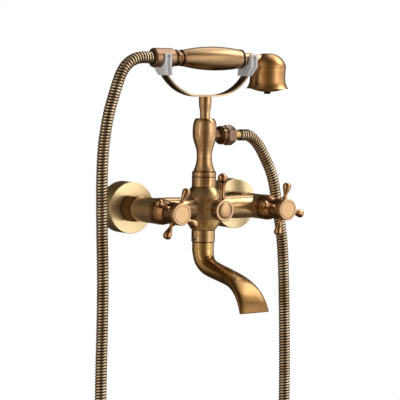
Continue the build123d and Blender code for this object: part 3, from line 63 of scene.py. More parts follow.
# The spout, riser, handset and hose are all centred this far in front of the wall
axis_depth = -59 * mm
grip_low, grip_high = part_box("handset_grip")
handset_height = (grip_low.z + grip_high.z) / 2
riser_collar_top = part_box("riser_collar")[1].z
spout_collar_foot, spout_collar_top = (corner.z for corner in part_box("spout_collar"))
strip_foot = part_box("cradle_yoke")[0].z
clip_foot, clip_top = (corner.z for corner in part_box("clip_right"))

camera_eye = Vector((-1.1923, -1.6851, 0.1640))
camera_aim = Vector((-0.0030, -0.0559, 0.0091))
camera_roll = radians(0.87)
camera_lens = 157.3


def place_camera():
    """Camera at the photograph's angle, turned a little about its own line of sight."""
    back = (camera_eye - camera_aim).normalized()
    level = Vector((0, 0, 1)).cross(back).normalized()
    upright = back.cross(level)
    right = level * cos(camera_roll) + upright * sin(camera_roll)
    up = back.cross(right)
    lens = bpy.data.cameras.new("camera")
    lens.lens = camera_lens
    lens.sensor_width = 36
    lens.clip_start = 0.05
    lens.clip_end = 50
    camera = bpy.data.objects.new("camera", lens)
    turn = Matrix((right, up, back)).transposed().to_4x4()
    camera.matrix_world = Matrix.Translation(camera_eye) @ turn
    bpy.context.scene.collection.objects.link(camera)
    bpy.context.scene.camera = camera


# Shader nodes
def feed(tree, node, values):
    """Node's inputs set to values, or linked from sockets."""
    for name, value in values.items():
        if isinstance(value, bpy.types.NodeSocket):
            tree.links.new(value, node.inputs[name])
        else:
            node.inputs[name].default_value = value


def add_node(tree, kind, values=None, **settings):
    """New node with its settings and its inputs."""
    node = tree.nodes.new(kind)
    for name, value in settings.items():
        setattr(node, name, value)
    feed(tree, node, values or {})
    return node


def maths(tree, operation, first, second=0.0, third=0.0):
    node = add_node(tree, "ShaderNodeMath", {0: first, 1: second, 2: third}, operation=operation)
    return node.outputs[0]


def vector_maths(tree, operation, first, second=(0, 0, 0)):
    return add_node(tree, "ShaderNodeVectorMath", {0: first, 1: second}, operation=operation)


def ramp(tree, factor, low, high, easing="LINEAR"):
    """Factor stretched so that low becomes 0 and high becomes 1."""
    stretch = {"Value": factor, "From Min": low, "From Max": high}
    node = add_node(tree, "ShaderNodeMapRange", stretch, interpolation_type=easing)
    return node.outputs["Result"]


def smooth_step(tree, factor, low, high):
    """As ramp, but easing in and out."""
    return ramp(tree, factor, low, high, "SMOOTHSTEP")


def mixed(tree, factor, first, second, blend="MIX"):
    """Colour between two colours, or between one and its product with the other."""
    colours = {0: factor, 6: first, 7: second}
    node = add_node(tree, "ShaderNodeMix", colours, data_type="RGBA", blend_type=blend)
    return node.outputs[2]


def noise(tree, place, scale, detail, **others):
    """Cloudy values from 0 to 1, with scale as clouds per metre."""
    settings = {"Vector": place, "Scale": scale, "Detail": detail, **others}
    return add_node(tree, "ShaderNodeTexNoise", settings).outputs[0]


def object_place(tree):
    return add_node(tree, "ShaderNodeTexCoord").outputs["Object"]


def openness(tree, reach, inside=False):
    """How free a place is of metal within reach or, inside, of the piece's own far sides."""
    node = add_node(
        tree, "ShaderNodeAmbientOcclusion", {"Distance": reach}, samples=8, inside=inside
    )
    return node.outputs["AO"]


def bumped(tree, height, strength, depth):
    values = {"Height": height, "Strength": strength, "Distance": depth}
    return add_node(tree, "ShaderNodeBump", values).outputs["Normal"]


def rgb(red, green, blue):
    """Colour as the eye reads it on a screen, turned into the renderer's linear values."""
    return tuple(((c + 0.055) / 1.055) ** 2.4 for c in (red, green, blue)) + (1.0,)


NUMBER = "NodeSocketFloat"
VECTOR = "NodeSocketVector"
COLOUR = "NodeSocketColor"


def new_group(name, inputs, outputs):
    """Empty node group, the sockets that it is given, and the node that takes its results."""
    group = bpy.data.node_groups.new(name, "ShaderNodeTree")
    for socket, kind in inputs:
        group.interface.new_socket(socket, in_out="INPUT", socket_type=kind)
    for socket, kind in outputs:
        group.interface.new_socket(socket, in_out="OUTPUT", socket_type=kind)
    start = group.nodes.new("NodeGroupInput")
    end = group.nodes.new("NodeGroupOutput")
    return group, start.outputs, end


def use_group(tree, group, values):
    return add_node(tree, "ShaderNodeGroup", values, node_tree=group).outputs


def make_brush_marks():
    """Fine lines left by a brushing wheel, drawn out across the stretched axis."""
    group, given, end = new_group(
        "brush_marks",
        [("Place", VECTOR), ("Stretch", VECTOR)],
        [("Lines", NUMBER), ("Bands", NUMBER)],
    )
    place = vector_maths(group, "MULTIPLY", given["Place"], given["Stretch"]).outputs[0]
    lines = noise(group, place, 1.0, 3.0, Roughness=0.62)
    bands = noise(group, place, 0.22, 2.0)
    feed(group, end, {
        "Lines": ramp(group, lines, 0.28, 0.72),
        "Bands": ramp(group, bands, 0.32, 0.68),
    })
    return group


def make_patina():
    """Clouds of darker lacquer, with small specks where it has pooled."""
    group, given, end = new_group(
        "patina", [("Place", VECTOR)], [("Clouds", NUMBER), ("Specks", NUMBER)]
    )
    clouds = noise(group, given["Place"], 34.0, 4.0, Distortion=0.6)
    specks = noise(group, given["Place"], 900.0, 2.0)
    feed(group, end, {
        "Clouds": ramp(group, clouds, 0.36, 0.66),
        "Specks": ramp(group, specks, 0.55, 0.75),
    })
    return group


def make_aged_metal():
    """Brass under a brown lacquer: worn pale on edges, brushed between, dark in recesses from lacquer pooled
    there and from painted shade where other metal is near.
    """
    numbers = ("Lines", "Bands", "Clouds", "Specks", "Open", "Edge", "Age", "Rough")
    colours = ("Pale", "Middle", "Dark")
    group, given, end = new_group(
        "aged_metal",
        [(name, NUMBER) for name in numbers] + [(name, COLOUR) for name in colours],
        [("Colour", COLOUR), ("Roughness", NUMBER)],
    )

    def share(name, most):
        return maths(group, "MULTIPLY", given[name], most)

    shut = maths(group, "SUBTRACT", 1.0, given["Open"])
    streaks = maths(group, "ADD", share("Lines", 0.45), share("Bands", 0.45))
    colour = mixed(group, streaks, given["Middle"], given["Pale"])
    colour = mixed(group, share("Clouds", given["Age"]), colour, given["Dark"])
    # Dark in recesses: lacquer pooled in the hollows, and painted shade where other metal lies near
    colour = mixed(group, maths(group, "MULTIPLY", shut, 0.85), colour, given["Dark"])
    colour = mixed(group, share("Specks", 0.06), colour, given["Dark"])
    colour = mixed(group, share("Edge", 0.7), colour, given["Pale"])
    rough = maths(group, "ADD", given["Rough"], share("Lines", 0.12))
    rough = maths(group, "ADD", rough, maths(group, "MULTIPLY", shut, 0.25))
    feed(group, end, {"Colour": colour, "Roughness": rough})
    return group


brush_marks = make_brush_marks()
patina = make_patina()
aged_metal = make_aged_metal()

# Brush marks per metre along X, Y and Z, for each way that a piece is brushed
brushed_along = {
    "x": (900, 22, 22),
    "y": (22, 900, 22),
    "z": (22, 22, 900),
    "lengthwise": (14, 900, 900),
    "across_x": (420, 12, 12),
    "cast": (90, 90, 30),
}
# Openness of a deep recess and of an open face, and inside the metal of a flat and of an edge
recess_to_open = (0.15, 0.70)
flat_to_edge = (0.52, 0.30)


def start_material(name):
    material = bpy.data.materials.new(name)
    material.use_nodes = True
    tree = material.node_tree
    return material, tree, tree.nodes["Principled BSDF"]


def brass(name, turned, pale, middle, dark, age=0.15, rough=0.22, recess=3 * mm, edge=1.2 * mm,
          tints=(), seams=None, touch_up=None, lacquer=0.4, metallic=1.0):
    """Aged metal whose brush marks run round the axis that the piece was turned on.

    Each tint is an axis, two places on it and what the colour is multiplied by from there on.
    Seams are an axis, the places on it where lacquer has pooled in a joint, and half a width.
    """
    material, tree, surface = start_material(name)
    place = object_place(tree)
    marks = use_group(tree, brush_marks, {"Place": place, "Stretch": brushed_along[turned]})
    clouds = use_group(tree, patina, {"Place": place})
    metal = use_group(tree, aged_metal, {
        "Lines": marks["Lines"],
        "Bands": marks["Bands"],
        "Clouds": clouds["Clouds"],
        "Specks": clouds["Specks"],
        "Open": ramp(tree, openness(tree, recess), *recess_to_open),
        "Edge": ramp(tree, openness(tree, edge, inside=True), *flat_to_edge),
        "Pale": pale,
        "Middle": middle,
        "Dark": dark,
        "Age": age,
        "Rough": rough,
    })
    colour = metal["Colour"]
    along = add_node(tree, "ShaderNodeSeparateXYZ", {0: place}).outputs
    for axis, start, end, tint in tints:
        share = smooth_step(tree, along[axis], start, end)
        colour = mixed(tree, share, colour, tint, "MULTIPLY")
    if seams:
        axis, places, half_width = seams
        for seam in places:
            near = maths(tree, "COMPARE", along[axis], seam, half_width)
            colour = mixed(tree, near, colour, dark)
    if touch_up:
        colour = touch_up(tree, colour)
    feed(tree, surface, {
        "Base Color": colour,
        "Roughness": metal["Roughness"],
        "Normal": bumped(tree, marks["Lines"], strength=0.02, depth=0.06 * mm),
        "Metallic": metallic,
        "Coat Weight": lacquer,
        "Coat Roughness": 0.12,
    })
    return material


def moulded(name, colour, shade, rough, metallic=0.0, gloss=0.5, touch_up=None):
    """Plastic, rubber, ceramic or bright steel: faint mottling, a fine grain and painted shade where other
    parts are near.
    """
    material, tree, surface = start_material(name)
    place = object_place(tree)
    mottle = noise(tree, place, 120.0, 3.0)
    grain = noise(tree, place, 2600.0, 1.0)
    mottled = mixed(tree, ramp(tree, mottle, 0.35, 0.65), colour, shade)
    # Painted shade: the darker colour where other parts lie within 4 mm
    plain = mixed(tree, ramp(tree, openness(tree, 4 * mm), 0.3, 0.9), shade, mottled)
    feed(tree, surface, {
        "Base Color": touch_up(tree, plain) if touch_up else plain,
        "Roughness": maths(tree, "ADD", maths(tree, "MULTIPLY", mottle, 0.12), rough),
        "Normal": bumped(tree, grain, strength=0.04, depth=0.1 * mm),
        "Metallic": metallic,
        "Specular IOR Level": gloss,
    })
    return material


# What a place's colour is multiplied by: painted light and painted shade on the body, spout and strip, and a
# darker brown on the riser's outlet
# Painted light on the lower body
painted_body_light = (2.3, 2.1, 1.6, 1)
# Painted shade on the body's top, under the collar
painted_collar_shade = (0.55, 0.52, 0.45, 1)
# Painted shade on the body's left side
painted_side_shade = (0.35, 0.31, 0.27, 1)
# Multiplies the painted side shade away again further out on the left arm
painted_side_shade_undone = (2.9, 3.2, 3.7, 1)
outlet_brown = (0.24, 0.19, 0.16, 1)
# Painted shade from the spout's elbow down
painted_elbow_shade = (0.80, 0.76, 0.66, 1)
# Painted shade along the top of the spout's slope
painted_slope_shade = (0.42, 0.34, 0.22, 1)
# Painted shade on the fan towards its mouth
painted_fan_shade = (0.50, 0.43, 0.36, 1)
# Painted light on the lowest part of the strip
painted_strip_light = (2.6, 2.8, 3.0, 1)


def paint_slope_shade(tree, plain):
    """Painted shade along the upward-facing top of the spout's slope."""
    top = add_node(tree, "ShaderNodeAttribute", attribute_name="slope_shade_share").outputs["Fac"]
    return mixed(tree, top, plain, painted_slope_shade, "MULTIPLY")


# The clips' arms slant outwards from their foot to a shoulder and rise straight from there, with
# a groove down the middle of their front and back
clip_shoulder = clip_foot + 10.2 * mm
clip_lean = 4.6 * mm
clip_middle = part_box("clip_right")[1].x - 4.4 * mm
groove_half_width = 1.7 * mm
groove_depth = 8.5 * mm
groove_blur = 0.3 * mm
groove_top = clip_top - 2.2 * mm
groove_top_blur = 0.7 * mm
# Painted shade in the clips' groove and at its top, and painted highlights on their edges
groove_shade_foot = clip_top - 6 * mm
groove_shade_top = clip_top - 3 * mm
groove_shade_grey = rgb(0.68, 0.66, 0.64)
upper_groove_shade = rgb(0.34, 0.28, 0.25)
clip_edge_highlight = rgb(0.98, 0.97, 0.96)


def paint_clip_shade_and_highlights(tree, plain):
    """Painted shade in the groove, darker brown at its top, and painted highlights on the edges."""
    place = add_node(tree, "ShaderNodeSeparateXYZ", {0: object_place(tree)}).outputs
    lean = maths(tree, "MULTIPLY", ramp(tree, place["Z"], clip_shoulder, clip_foot), clip_lean)
    outward = maths(tree, "ADD", maths(tree, "ABSOLUTE", place["X"]), lean)
    near_middle = maths(tree, "COMPARE", outward, clip_middle, groove_half_width)
    from_axis = maths(tree, "ABSOLUTE", maths(tree, "SUBTRACT", place["Y"], axis_depth))
    outside = ramp(tree, from_axis, groove_depth, groove_depth + groove_blur)
    under_top = ramp(tree, place["Z"], groove_top, groove_top - groove_top_blur)
    groove = maths(tree, "MULTIPLY", maths(tree, "MULTIPLY", near_middle, outside), under_top)
    # Painted shade, darker brown, at the top of the groove
    upper_groove_share = smooth_step(tree, place["Z"], groove_shade_foot, groove_shade_top)
    shaded = mixed(tree, upper_groove_share, groove_shade_grey, upper_groove_shade)
    # Painted highlights on the clips' edges
    edges = ramp(tree, openness(tree, 0.9 * mm, inside=True), 0.60, 0.35)
    return mixed(tree, edges, mixed(tree, groove, plain, shaded), clip_edge_highlight)


# Each finish: brushed how, then its colour where it is worn, between and under thick lacquer
pale_brass = rgb(0.90, 0.76, 0.57)
mid_brass = rgb(0.76, 0.58, 0.39)
dark_lacquer = rgb(0.32, 0.19, 0.09)
collar_seams = (
    riser_collar_top - 6.1 * mm,
    riser_collar_top - 0.2 * mm,
    spout_collar_top - 0.3 * mm,
    spout_collar_foot + 0.4 * mm,
)
finishes = {
    "turned_z": brass(
        "antique_brass_upright", "z", pale_brass, mid_brass, dark_lacquer,
        seams=("Z", collar_seams, 0.5 * mm),
    ),
    "riser": brass(
        "antique_brass_riser", "z", pale_brass, mid_brass, dark_lacquer,
        tints=[("X", 11 * mm, 15 * mm, outlet_brown)],
        seams=("Z", (riser_collar_top + 0.6 * mm,), 0.4 * mm),
    ),
    "turned_x": brass("antique_brass_level", "x", pale_brass, mid_brass, dark_lacquer),
    "turned_y": brass(
        "brown_brass_outward", "y", rgb(0.80, 0.62, 0.42), rgb(0.62, 0.45, 0.28), dark_lacquer,
    ),
    "cast": brass(
        "antique_brass_cast", "cast", rgb(0.90, 0.76, 0.56), rgb(0.82, 0.66, 0.43),
        rgb(0.30, 0.21, 0.11), age=0.2, rough=0.2, metallic=0.85,
        # Painted light low on the body, painted shade on its top and left side, the side shade undone again
        # on the left arm
        tints=[
            ("Z", -10 * mm, -28 * mm, painted_body_light),
            ("Z", 14 * mm, 28 * mm, painted_collar_shade),
            ("X", -7 * mm, -19 * mm, painted_side_shade),
            ("X", -25 * mm, -34 * mm, painted_side_shade_undone),
        ],
    ),
    "bell": brass(
        "antique_brass_bell", "z", rgb(0.86, 0.67, 0.44), rgb(0.76, 0.56, 0.33),
        rgb(0.28, 0.15, 0.05), rough=0.27,
    ),
    "spout": brass(
        "antique_brass_spout", "across_x", rgb(0.95, 0.80, 0.54), rgb(0.81, 0.63, 0.38),
        dark_lacquer, rough=0.2, touch_up=paint_slope_shade,
        # Painted shade from the elbow down and on the fan towards its mouth
        tints=[
            ("Z", -50 * mm, -68 * mm, painted_elbow_shade),
            ("Y", -126 * mm, -139 * mm, painted_fan_shade),
        ],
    ),
    "strip": brass(
        "dark_strip_bronze", "cast", rgb(0.60, 0.50, 0.36), rgb(0.34, 0.27, 0.18),
        rgb(0.16, 0.11, 0.06), age=0.3, rough=0.25, edge=0.5 * mm,
        # Painted light on the strip's lowest part
        tints=[("Z", strip_foot + 6.4 * mm, strip_foot + 2.4 * mm, painted_strip_light)],
    ),
    "tail": brass(
        "brown_tail_brass", "x", rgb(0.60, 0.43, 0.25), rgb(0.28, 0.17, 0.09),
        rgb(0.10, 0.06, 0.03), age=0.3, rough=0.16,
    ),
    "grip": brass(
        "antique_brass_grip", "lengthwise", rgb(0.77, 0.63, 0.46), rgb(0.48, 0.35, 0.21),
        dark_lacquer, age=0.12, rough=0.24,
    ),
    "dark_x": brass(
        "brown_brass_level", "x", rgb(0.80, 0.64, 0.42), rgb(0.66, 0.50, 0.30),
        rgb(0.24, 0.15, 0.07),
    ),
    "spray": brass(
        "brown_spray_brass", "z", rgb(0.78, 0.56, 0.33), rgb(0.66, 0.45, 0.24),
        rgb(0.24, 0.13, 0.06), metallic=0.8,
    ),
    "union_nut": brass(
        "dark_nut_brass", "y", rgb(0.60, 0.42, 0.20), rgb(0.46, 0.30, 0.13),
        rgb(0.16, 0.09, 0.04), age=0.2, metallic=0.8,
    ),
    "handle": brass(
        "glossy_handle_brass", "y", rgb(0.84, 0.66, 0.46), rgb(0.66, 0.47, 0.29),
        rgb(0.28, 0.16, 0.07), rough=0.14, lacquer=0.8,
    ),
    "ringed": brass(
        "brown_bonnet_brass", "y", rgb(0.86, 0.70, 0.48), rgb(0.76, 0.60, 0.38),
        rgb(0.26, 0.16, 0.07), metallic=0.6,
    ),
    "flange": brass(
        "pale_flange_brass", "y", rgb(0.97, 0.89, 0.72), rgb(0.90, 0.80, 0.59),
        rgb(0.50, 0.40, 0.22), age=0.08, rough=0.28,
    ),
    "cap": brass(
        "peach_cap_brass", "y", rgb(0.88, 0.74, 0.57), rgb(0.79, 0.63, 0.45),
        rgb(0.26, 0.15, 0.07), age=0.06, rough=0.34, recess=2.5 * mm, edge=0.6 * mm,
    ),
    "nut": brass(
        "brown_nut_bronze", "x", rgb(0.56, 0.43, 0.34), rgb(0.40, 0.29, 0.22),
        rgb(0.20, 0.12, 0.09),
    ),
    "hose_nut": brass(
        "pinkish_nut_bronze", "x", rgb(0.67, 0.53, 0.42), rgb(0.53, 0.40, 0.29),
        rgb(0.24, 0.15, 0.10), age=0.2, rough=0.26,
    ),
    "machined": brass(
        "machined_brass", "y", rgb(0.88, 0.74, 0.48), rgb(0.76, 0.60, 0.35),
        rgb(0.40, 0.28, 0.12), age=0.1,
    ),
    "steel": moulded(
        "screw_steel", rgb(0.75, 0.74, 0.72), rgb(0.5, 0.5, 0.5), 0.3, metallic=1.0
    ),
    "grey_plastic": moulded(
        "clip_plastic", rgb(0.90, 0.89, 0.88), rgb(0.82, 0.79, 0.78), 0.28, touch_up=paint_clip_shade_and_highlights
    ),
    "black_plastic": moulded(
        "black_plastic", rgb(0.05, 0.04, 0.03), rgb(0.02, 0.02, 0.02), 0.5, gloss=0.15
    ),
    "rubber": moulded("seal_rubber", rgb(0.07, 0.07, 0.07), rgb(0.03, 0.03, 0.03), 0.6),
    "ceramic": moulded("disc_ceramic", rgb(0.93, 0.92, 0.90), rgb(0.8, 0.79, 0.77), 0.15),
}

pieces_by_finish = {
    "turned_z": ["riser_collar", "cradle_post", "spout_collar"],
    "riser": ["riser_column"],
    "bell": ["bell_head"],
    "spout": ["spout"],
    "strip": ["cradle_yoke", "cradle_screw"],
    "turned_x": ["handset_neck", "handset_ferrule", "handset_tube"],
    "hose_nut": ["handset_nut"],
    "tail": ["handset_tail"],
    "grip": ["handset_grip"],
    "dark_x": ["outlet_ferrule"],
    "spray": ["spray_face"],
    "turned_y": ["hot_bonnet", "cold_bonnet"],
    "handle": ["hot_cross_handle", "cold_cross_handle", "diverter_lever"],
    "ringed": ["diverter_bonnet"],
    "union_nut": ["hot_union_nut", "cold_union_nut"],
    "cast": ["main_body"],
    "flange": ["hot_wall_flange", "cold_wall_flange"],
    "cap": ["hot_index_cap", "cold_index_cap", "diverter_cap"],
    "nut": ["outlet_nut"],
    "machined": ["hot_wall_union", "cold_wall_union", "hot_cartridge", "cold_cartridge",
                 "hot_spindle", "cold_spindle", "diverter_cage", "diverter_drum"],
    "steel": ["hot_handle_screw", "cold_handle_screw", "diverter_screw", "grub_screw"],
    "grey_plastic": ["clip_left", "clip_right"],
    "black_plastic": ["handset_ring", "spray_screw"],
    "rubber": ["inlet_washers", "seat_seals", "spout_seals", "outlet_washer",
               "handset_washer", "head_gasket"],
    "ceramic": ["fixed_discs", "hot_moving_disc", "cold_moving_disc"],
}


def dress(piece, material):
    piece.data.materials.clear()
    piece.data.materials.append(material)


for finish, names in pieces_by_finish.items():
    for name in names:
        dress(nodes[name], finishes[finish])


def in_order(parts, place_of):
    """Sorts vertices or faces from the lowest up, as operators order them anew at each run."""
    ranks = {part: rank for rank, part in enumerate(sorted(parts, key=place_of))}
    parts.sort(key=lambda part: ranks[part])
    parts.index_update()


def finished(name, shape):
    """Object in the scene from a finished bmesh."""
    in_order(shape.verts, lambda vertex: tuple(vertex.co.zyx))
    in_order(shape.faces, lambda face: tuple(face.calc_center_median().zyx))
    mesh = bpy.data.meshes.new(name)
    shape.to_mesh(mesh)
    shape.free()
    piece = bpy.data.objects.new(name, mesh)
    bpy.context.scene.collection.objects.link(piece)
    return piece


def only(kind, parts):
    """The vertices, edges or faces among what an operator made."""
    return [part for part in parts if isinstance(part, kind)]


def soft_rings(rings, places_between):
    """More rings of numbers between the given ones, along a smooth curve through them."""
    finer = []
    padded = [rings[0], *rings, rings[-1]]
    for before, start, end, after in zip(padded, padded[1:], padded[2:], padded[3:]):
        for step in range(places_between):
            t = step / places_between
            finer.append(tuple(
                0.5 * (2 * q + (r - p) * t + (2 * p - 5 * q + 4 * r - s) * t * t
                       + (3 * q - p - 3 * r + s) * t * t * t)
                for p, q, r, s in zip(before, start, end, after)
            ))
    return finer + [rings[-1]]


# Spout: a bent tube that flattens into a fan with rounded rims, hollow from its mouth inwards
spout_wall = 1.3 * mm
spout_around = 64
rings_between = 8
mouth_rings = 24
# Depth and height of the middle, tilt below the horizontal, width, thickness and how square
# the section is, in millimetres and degrees
spout_rings = [
    (59.0, -39.6, 90.0, 25.2, 25.2, 2.0),
    (59.0, -45.0, 90.0, 25.2, 25.2, 2.0),
    (59.2, -50.0, 86.0, 25.0, 25.0, 2.0),
    (62.6, -60.5, 60.0, 23.8, 23.0, 2.0),
    (72.0, -67.3, 24.0, 22.2, 20.8, 2.0),
    (88.0, -71.2, 11.0, 21.6, 19.2, 2.0),
    (108.0, -74.9, 11.0, 23.4, 18.0, 2.1),
    (128.0, -80.0, 20.0, 29.4, 14.6, 2.4),
    (143.0, -88.2, 42.0, 35.0, 10.0, 2.9),
    (152.2, -98.6, 62.0, 38.2, 7.0, 3.3),
    (158.2, -110.0, 70.0, 40.4, 5.2, 3.6),
]
# Depths at which the painted shade along the slope's top starts and ends, and how far each end fades, in
# millimetres
slope_start, slope_start_fade = 59.0, 6.0
slope_end, slope_end_fade = 132.0, 16.0
slope_narrowing = 1.5


def flattened(part, square):
    """A circle's cosine or sine, pushed outwards so that the circle becomes squarer."""
    return copysign(abs(part) ** (2 / square), part)


def set_section(rim, turn, slope_shade_share, ring, inset):
    """Puts a rim's vertices on one section, square to the way the spout runs there."""
    depth, height, tilt, width, thickness, square = ring
    lean = radians(tilt)
    upward = Vector((0, -sin(lean), cos(lean)))
    middle = Vector((0, -depth * mm, height * mm))
    half_width, half_thickness = width * mm / 2 - inset, thickness * mm / 2 - inset
    past_start = min(max((depth - slope_start) / slope_start_fade, 0), 1)
    before_end = min(max((slope_end - depth) / slope_end_fade, 0), 1)
    for vertex in rim:
        angle = vertex[turn]
        sideways = Vector((half_width * flattened(cos(angle), square), 0, 0))
        vertex.co = middle + sideways + upward * half_thickness * flattened(sin(angle), square)
        # Painted shade on the upward-facing side of the slope
        vertex[slope_shade_share] = past_start * before_end * max(sin(angle), 0) ** slope_narrowing


def make_spout():
    """A capped circle drawn out section by section to the lip, then back up inside the mouth."""
    shape = bmesh.new()
    turn = shape.verts.layers.float.new("turn")
    slope_shade_share = shape.verts.layers.float.new("slope_shade_share")
    rings = soft_rings(spout_rings, rings_between)
    sections = [(ring, 0) for ring in rings]
    sections += [(ring, spout_wall) for ring in reversed(rings[-mouth_rings:])]
    circle = bmesh.ops.create_circle(shape, cap_ends=True, segments=spout_around, radius=1)
    rim, edges = circle["verts"], shape.edges[:]
    for vertex in rim:
        vertex[turn] = atan2(vertex.co.y, vertex.co.x)
    set_section(rim, turn, slope_shade_share, *sections[0])
    for ring, inset in sections[1:]:
        drawn = bmesh.ops.extrude_edge_only(shape, edges=edges)["geom"]
        rim = only(bmesh.types.BMVert, drawn)
        edges = [edge for edge in only(bmesh.types.BMEdge, drawn) if edge.is_boundary]
        set_section(rim, turn, slope_shade_share, ring, inset)
    bmesh.ops.edgeloop_fill(shape, edges=edges)
    bmesh.ops.recalc_face_normals(shape, faces=shape.faces)
    for face in shape.faces:
        face.smooth = len(face.verts) == 4
    shape.verts.layers.float.remove(turn)
    return finished("spout_fan", shape)


spout_fan = make_spout()
dress(spout_fan, finishes["spout"])
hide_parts("spout")
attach(spout_fan, "spout")

# Shower hose: a metal strip wound into ribs on a hanging loop
hose_depth = axis_depth
hose_radius = 6.8 * mm
hose_root_radius = 6.0 * mm
hose_pitch = 3.3 * mm
hose_around = 16
places_per_turn = 3 * hose_around
# How far each sixth of a rib stands out, from its root to its crest
rib_profile = (0.0, 0.85, 1.0, 1.0, 0.85, 0.0)
# Points of the hose's route as x and z in millimetres, from the riser's outlet to the handset
hose_route = [
    (49.4, 84.0), (56.5, 84.0), (64.0, 83.8), (77.5, 74.5), (90.0, 55.5), (102.0, 33.0),
    (108.0, 2.0), (117.0, -36.0), (121.5, -90.0), (126.0, -225.0), (124.0, -365.0),
    (105.0, -439.5), (60.0, -491.5), (-6.0, -512.5), (-72.0, -492.5), (-118.0, -439.5),
    (-137.0, -365.0), (-139.5, -215.0), (-137.0, -90.0), (-140.0, -10.0), (-140.5, 60.0),
    (-134.5, 103.0), (-124.0, 135.5), (-114.0, 161.0), (-97.0, 172.5), (-76.0, 172.5),
    (-56.5, 172.5),
]


def spline_points(route):
    """Points read along the smooth curve that the route's points control."""
    curve = bpy.data.curves.new("hose_line", "CURVE")
    curve.dimensions = "3D"
    spline = curve.splines.new("NURBS")
    spline.points.add(len(route) - 1)
    for point, (x, z) in zip(spline.points, route):
        point.co = (x * mm, hose_depth, z * mm, 1)
    spline.order_u = 3
    spline.use_endpoint_u = True
    spline.resolution_u = 40
    holder = bpy.data.objects.new("hose_line", curve)
    bpy.context.scene.collection.objects.link(holder)
    mesh = bpy.data.meshes.new_from_object(holder)
    points = [v.co.copy() for v in mesh.vertices]
    bpy.data.objects.remove(holder)
    return points


def walk(points, step):
    """Points a steady step apart along a line of points, each with its heading."""
    places = []
    travelled = 0.0
    due = 0.0
    for start, end in zip(points, points[1:]):
        run = (end - start).length
        while due <= travelled + run and run > 0:
            share = (due - travelled) / run
            places.append((start.lerp(end, share), (end - start).normalized()))
            due += step
        travelled += run
    return places


def wind_strip(length):
    """Straight ribbed tube along Z: one turn of strip, copied, welded and cut square."""
    shape = bmesh.new()
    rib = shape.verts.layers.float.new("rib")
    profile = []
    for step, crest in enumerate((*rib_profile, rib_profile[0])):
        radius = hose_root_radius + (hose_radius - hose_root_radius) * crest
        vertex = shape.verts.new((radius, 0, (step / len(rib_profile) - 1) * hose_pitch))
        vertex[rib] = crest
        profile.append(vertex)
    edges = [shape.edges.new(pair) for pair in zip(profile, profile[1:])]
    bmesh.ops.spin(
        shape, geom=profile + edges, axis=(0, 0, 1), dvec=(0, 0, hose_pitch / hose_around),
        angle=2 * pi, steps=hose_around, use_merge=False,
    )
    wound = hose_pitch
    while wound < length + hose_pitch:
        whole = shape.verts[:] + shape.edges[:] + shape.faces[:]
        copied = only(bmesh.types.BMVert, bmesh.ops.duplicate(shape, geom=whole)["geom"])
        bmesh.ops.translate(shape, verts=copied, vec=(0, 0, wound))
        wound *= 2
    bmesh.ops.remove_doubles(shape, verts=shape.verts, dist=0.01 * mm)
    for end, outward in ((0, -1), (length, 1)):
        bmesh.ops.bisect_plane(
            shape, geom=shape.verts[:] + shape.edges[:] + shape.faces[:],
            plane_co=(0, 0, end), plane_no=(0, 0, outward), clear_outer=True,
        )
    return shape


def make_hose():
    """The wound strip bent along its route, and points along its middle."""
    spacing = hose_pitch / places_per_turn
    places = walk(spline_points(hose_route), spacing)
    shape = wind_strip((len(places) - 1) * spacing)
    across = Vector((0, 1, 0))
    for vertex in shape.verts:
        place, heading = places[round(vertex.co.z / spacing)]
        vertex.co = place + across * vertex.co.x + heading.cross(across) * vertex.co.y
    bmesh.ops.recalc_face_normals(shape, faces=shape.faces)
    for face in shape.faces:
        face.smooth = True
    line = [place for place, heading in places[::places_per_turn // 3]]
    return finished("shower_hose_wound", shape), line


def hose_finish():
    """Bronze strip, with painted shade, near black, between its crests."""
    material, tree, surface = start_material("wound_hose_bronze")
    rib = add_node(tree, "ShaderNodeAttribute", attribute_name="rib").outputs["Fac"]
    clouds = use_group(tree, patina, {"Place": object_place(tree)})
    crest = ramp(tree, rib, 0.35, 1.0)
    metal = mixed(tree, clouds["Clouds"], rgb(0.93, 0.86, 0.74), rgb(0.76, 0.65, 0.51))
    feed(tree, surface, {
        # Painted shade: near black between the crests, the metal's own colour on them
        "Base Color": mixed(tree, crest, rgb(0.13, 0.08, 0.04), metal),
        "Roughness": maths(tree, "SUBTRACT", 0.55, maths(tree, "MULTIPLY", crest, 0.27)),
        "Metallic": 1.0,
    })
    return material


hose, hose_line = make_hose()
dress(hose, hose_finish())
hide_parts("shower_hose")
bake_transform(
    hose,
    "root",
    "handset",
    start=(45 * mm, hose_depth, handset_height),
    end=(-55 * mm, hose_depth, handset_height),
)


# Studio: white background, soft lamps, and the light and dark sides that the metal mirrors
white = (1, 1, 1, 1)
fill_light = (0.545, 0.545, 0.545, 1)
studio_brown = (0.045, 0.0297, 0.01575, 1)
# Heading from the front, half width and soft edge in degrees, lowest and highest slope and
# its soft edge, tone
studio_sides = (
    (-36, 58, 30, -0.75, 0.75, 0.25, (0.160, 0.108, 0.060, 1)),
    (-99, 24, 32, -0.80, 0.80, 0.25, (0.600, 0.520, 0.430, 1)),
    (50, 40, 24, -0.60, 0.50, 0.25, (1.100, 1.060, 1.000, 1)),
    (92, 42, 16, 0.60, 0.94, 0.10, (2.300, 2.240, 2.130, 1)),
)
floor_radius = 1.1
floor_fade_start = 0.75
floor_height = -0.56


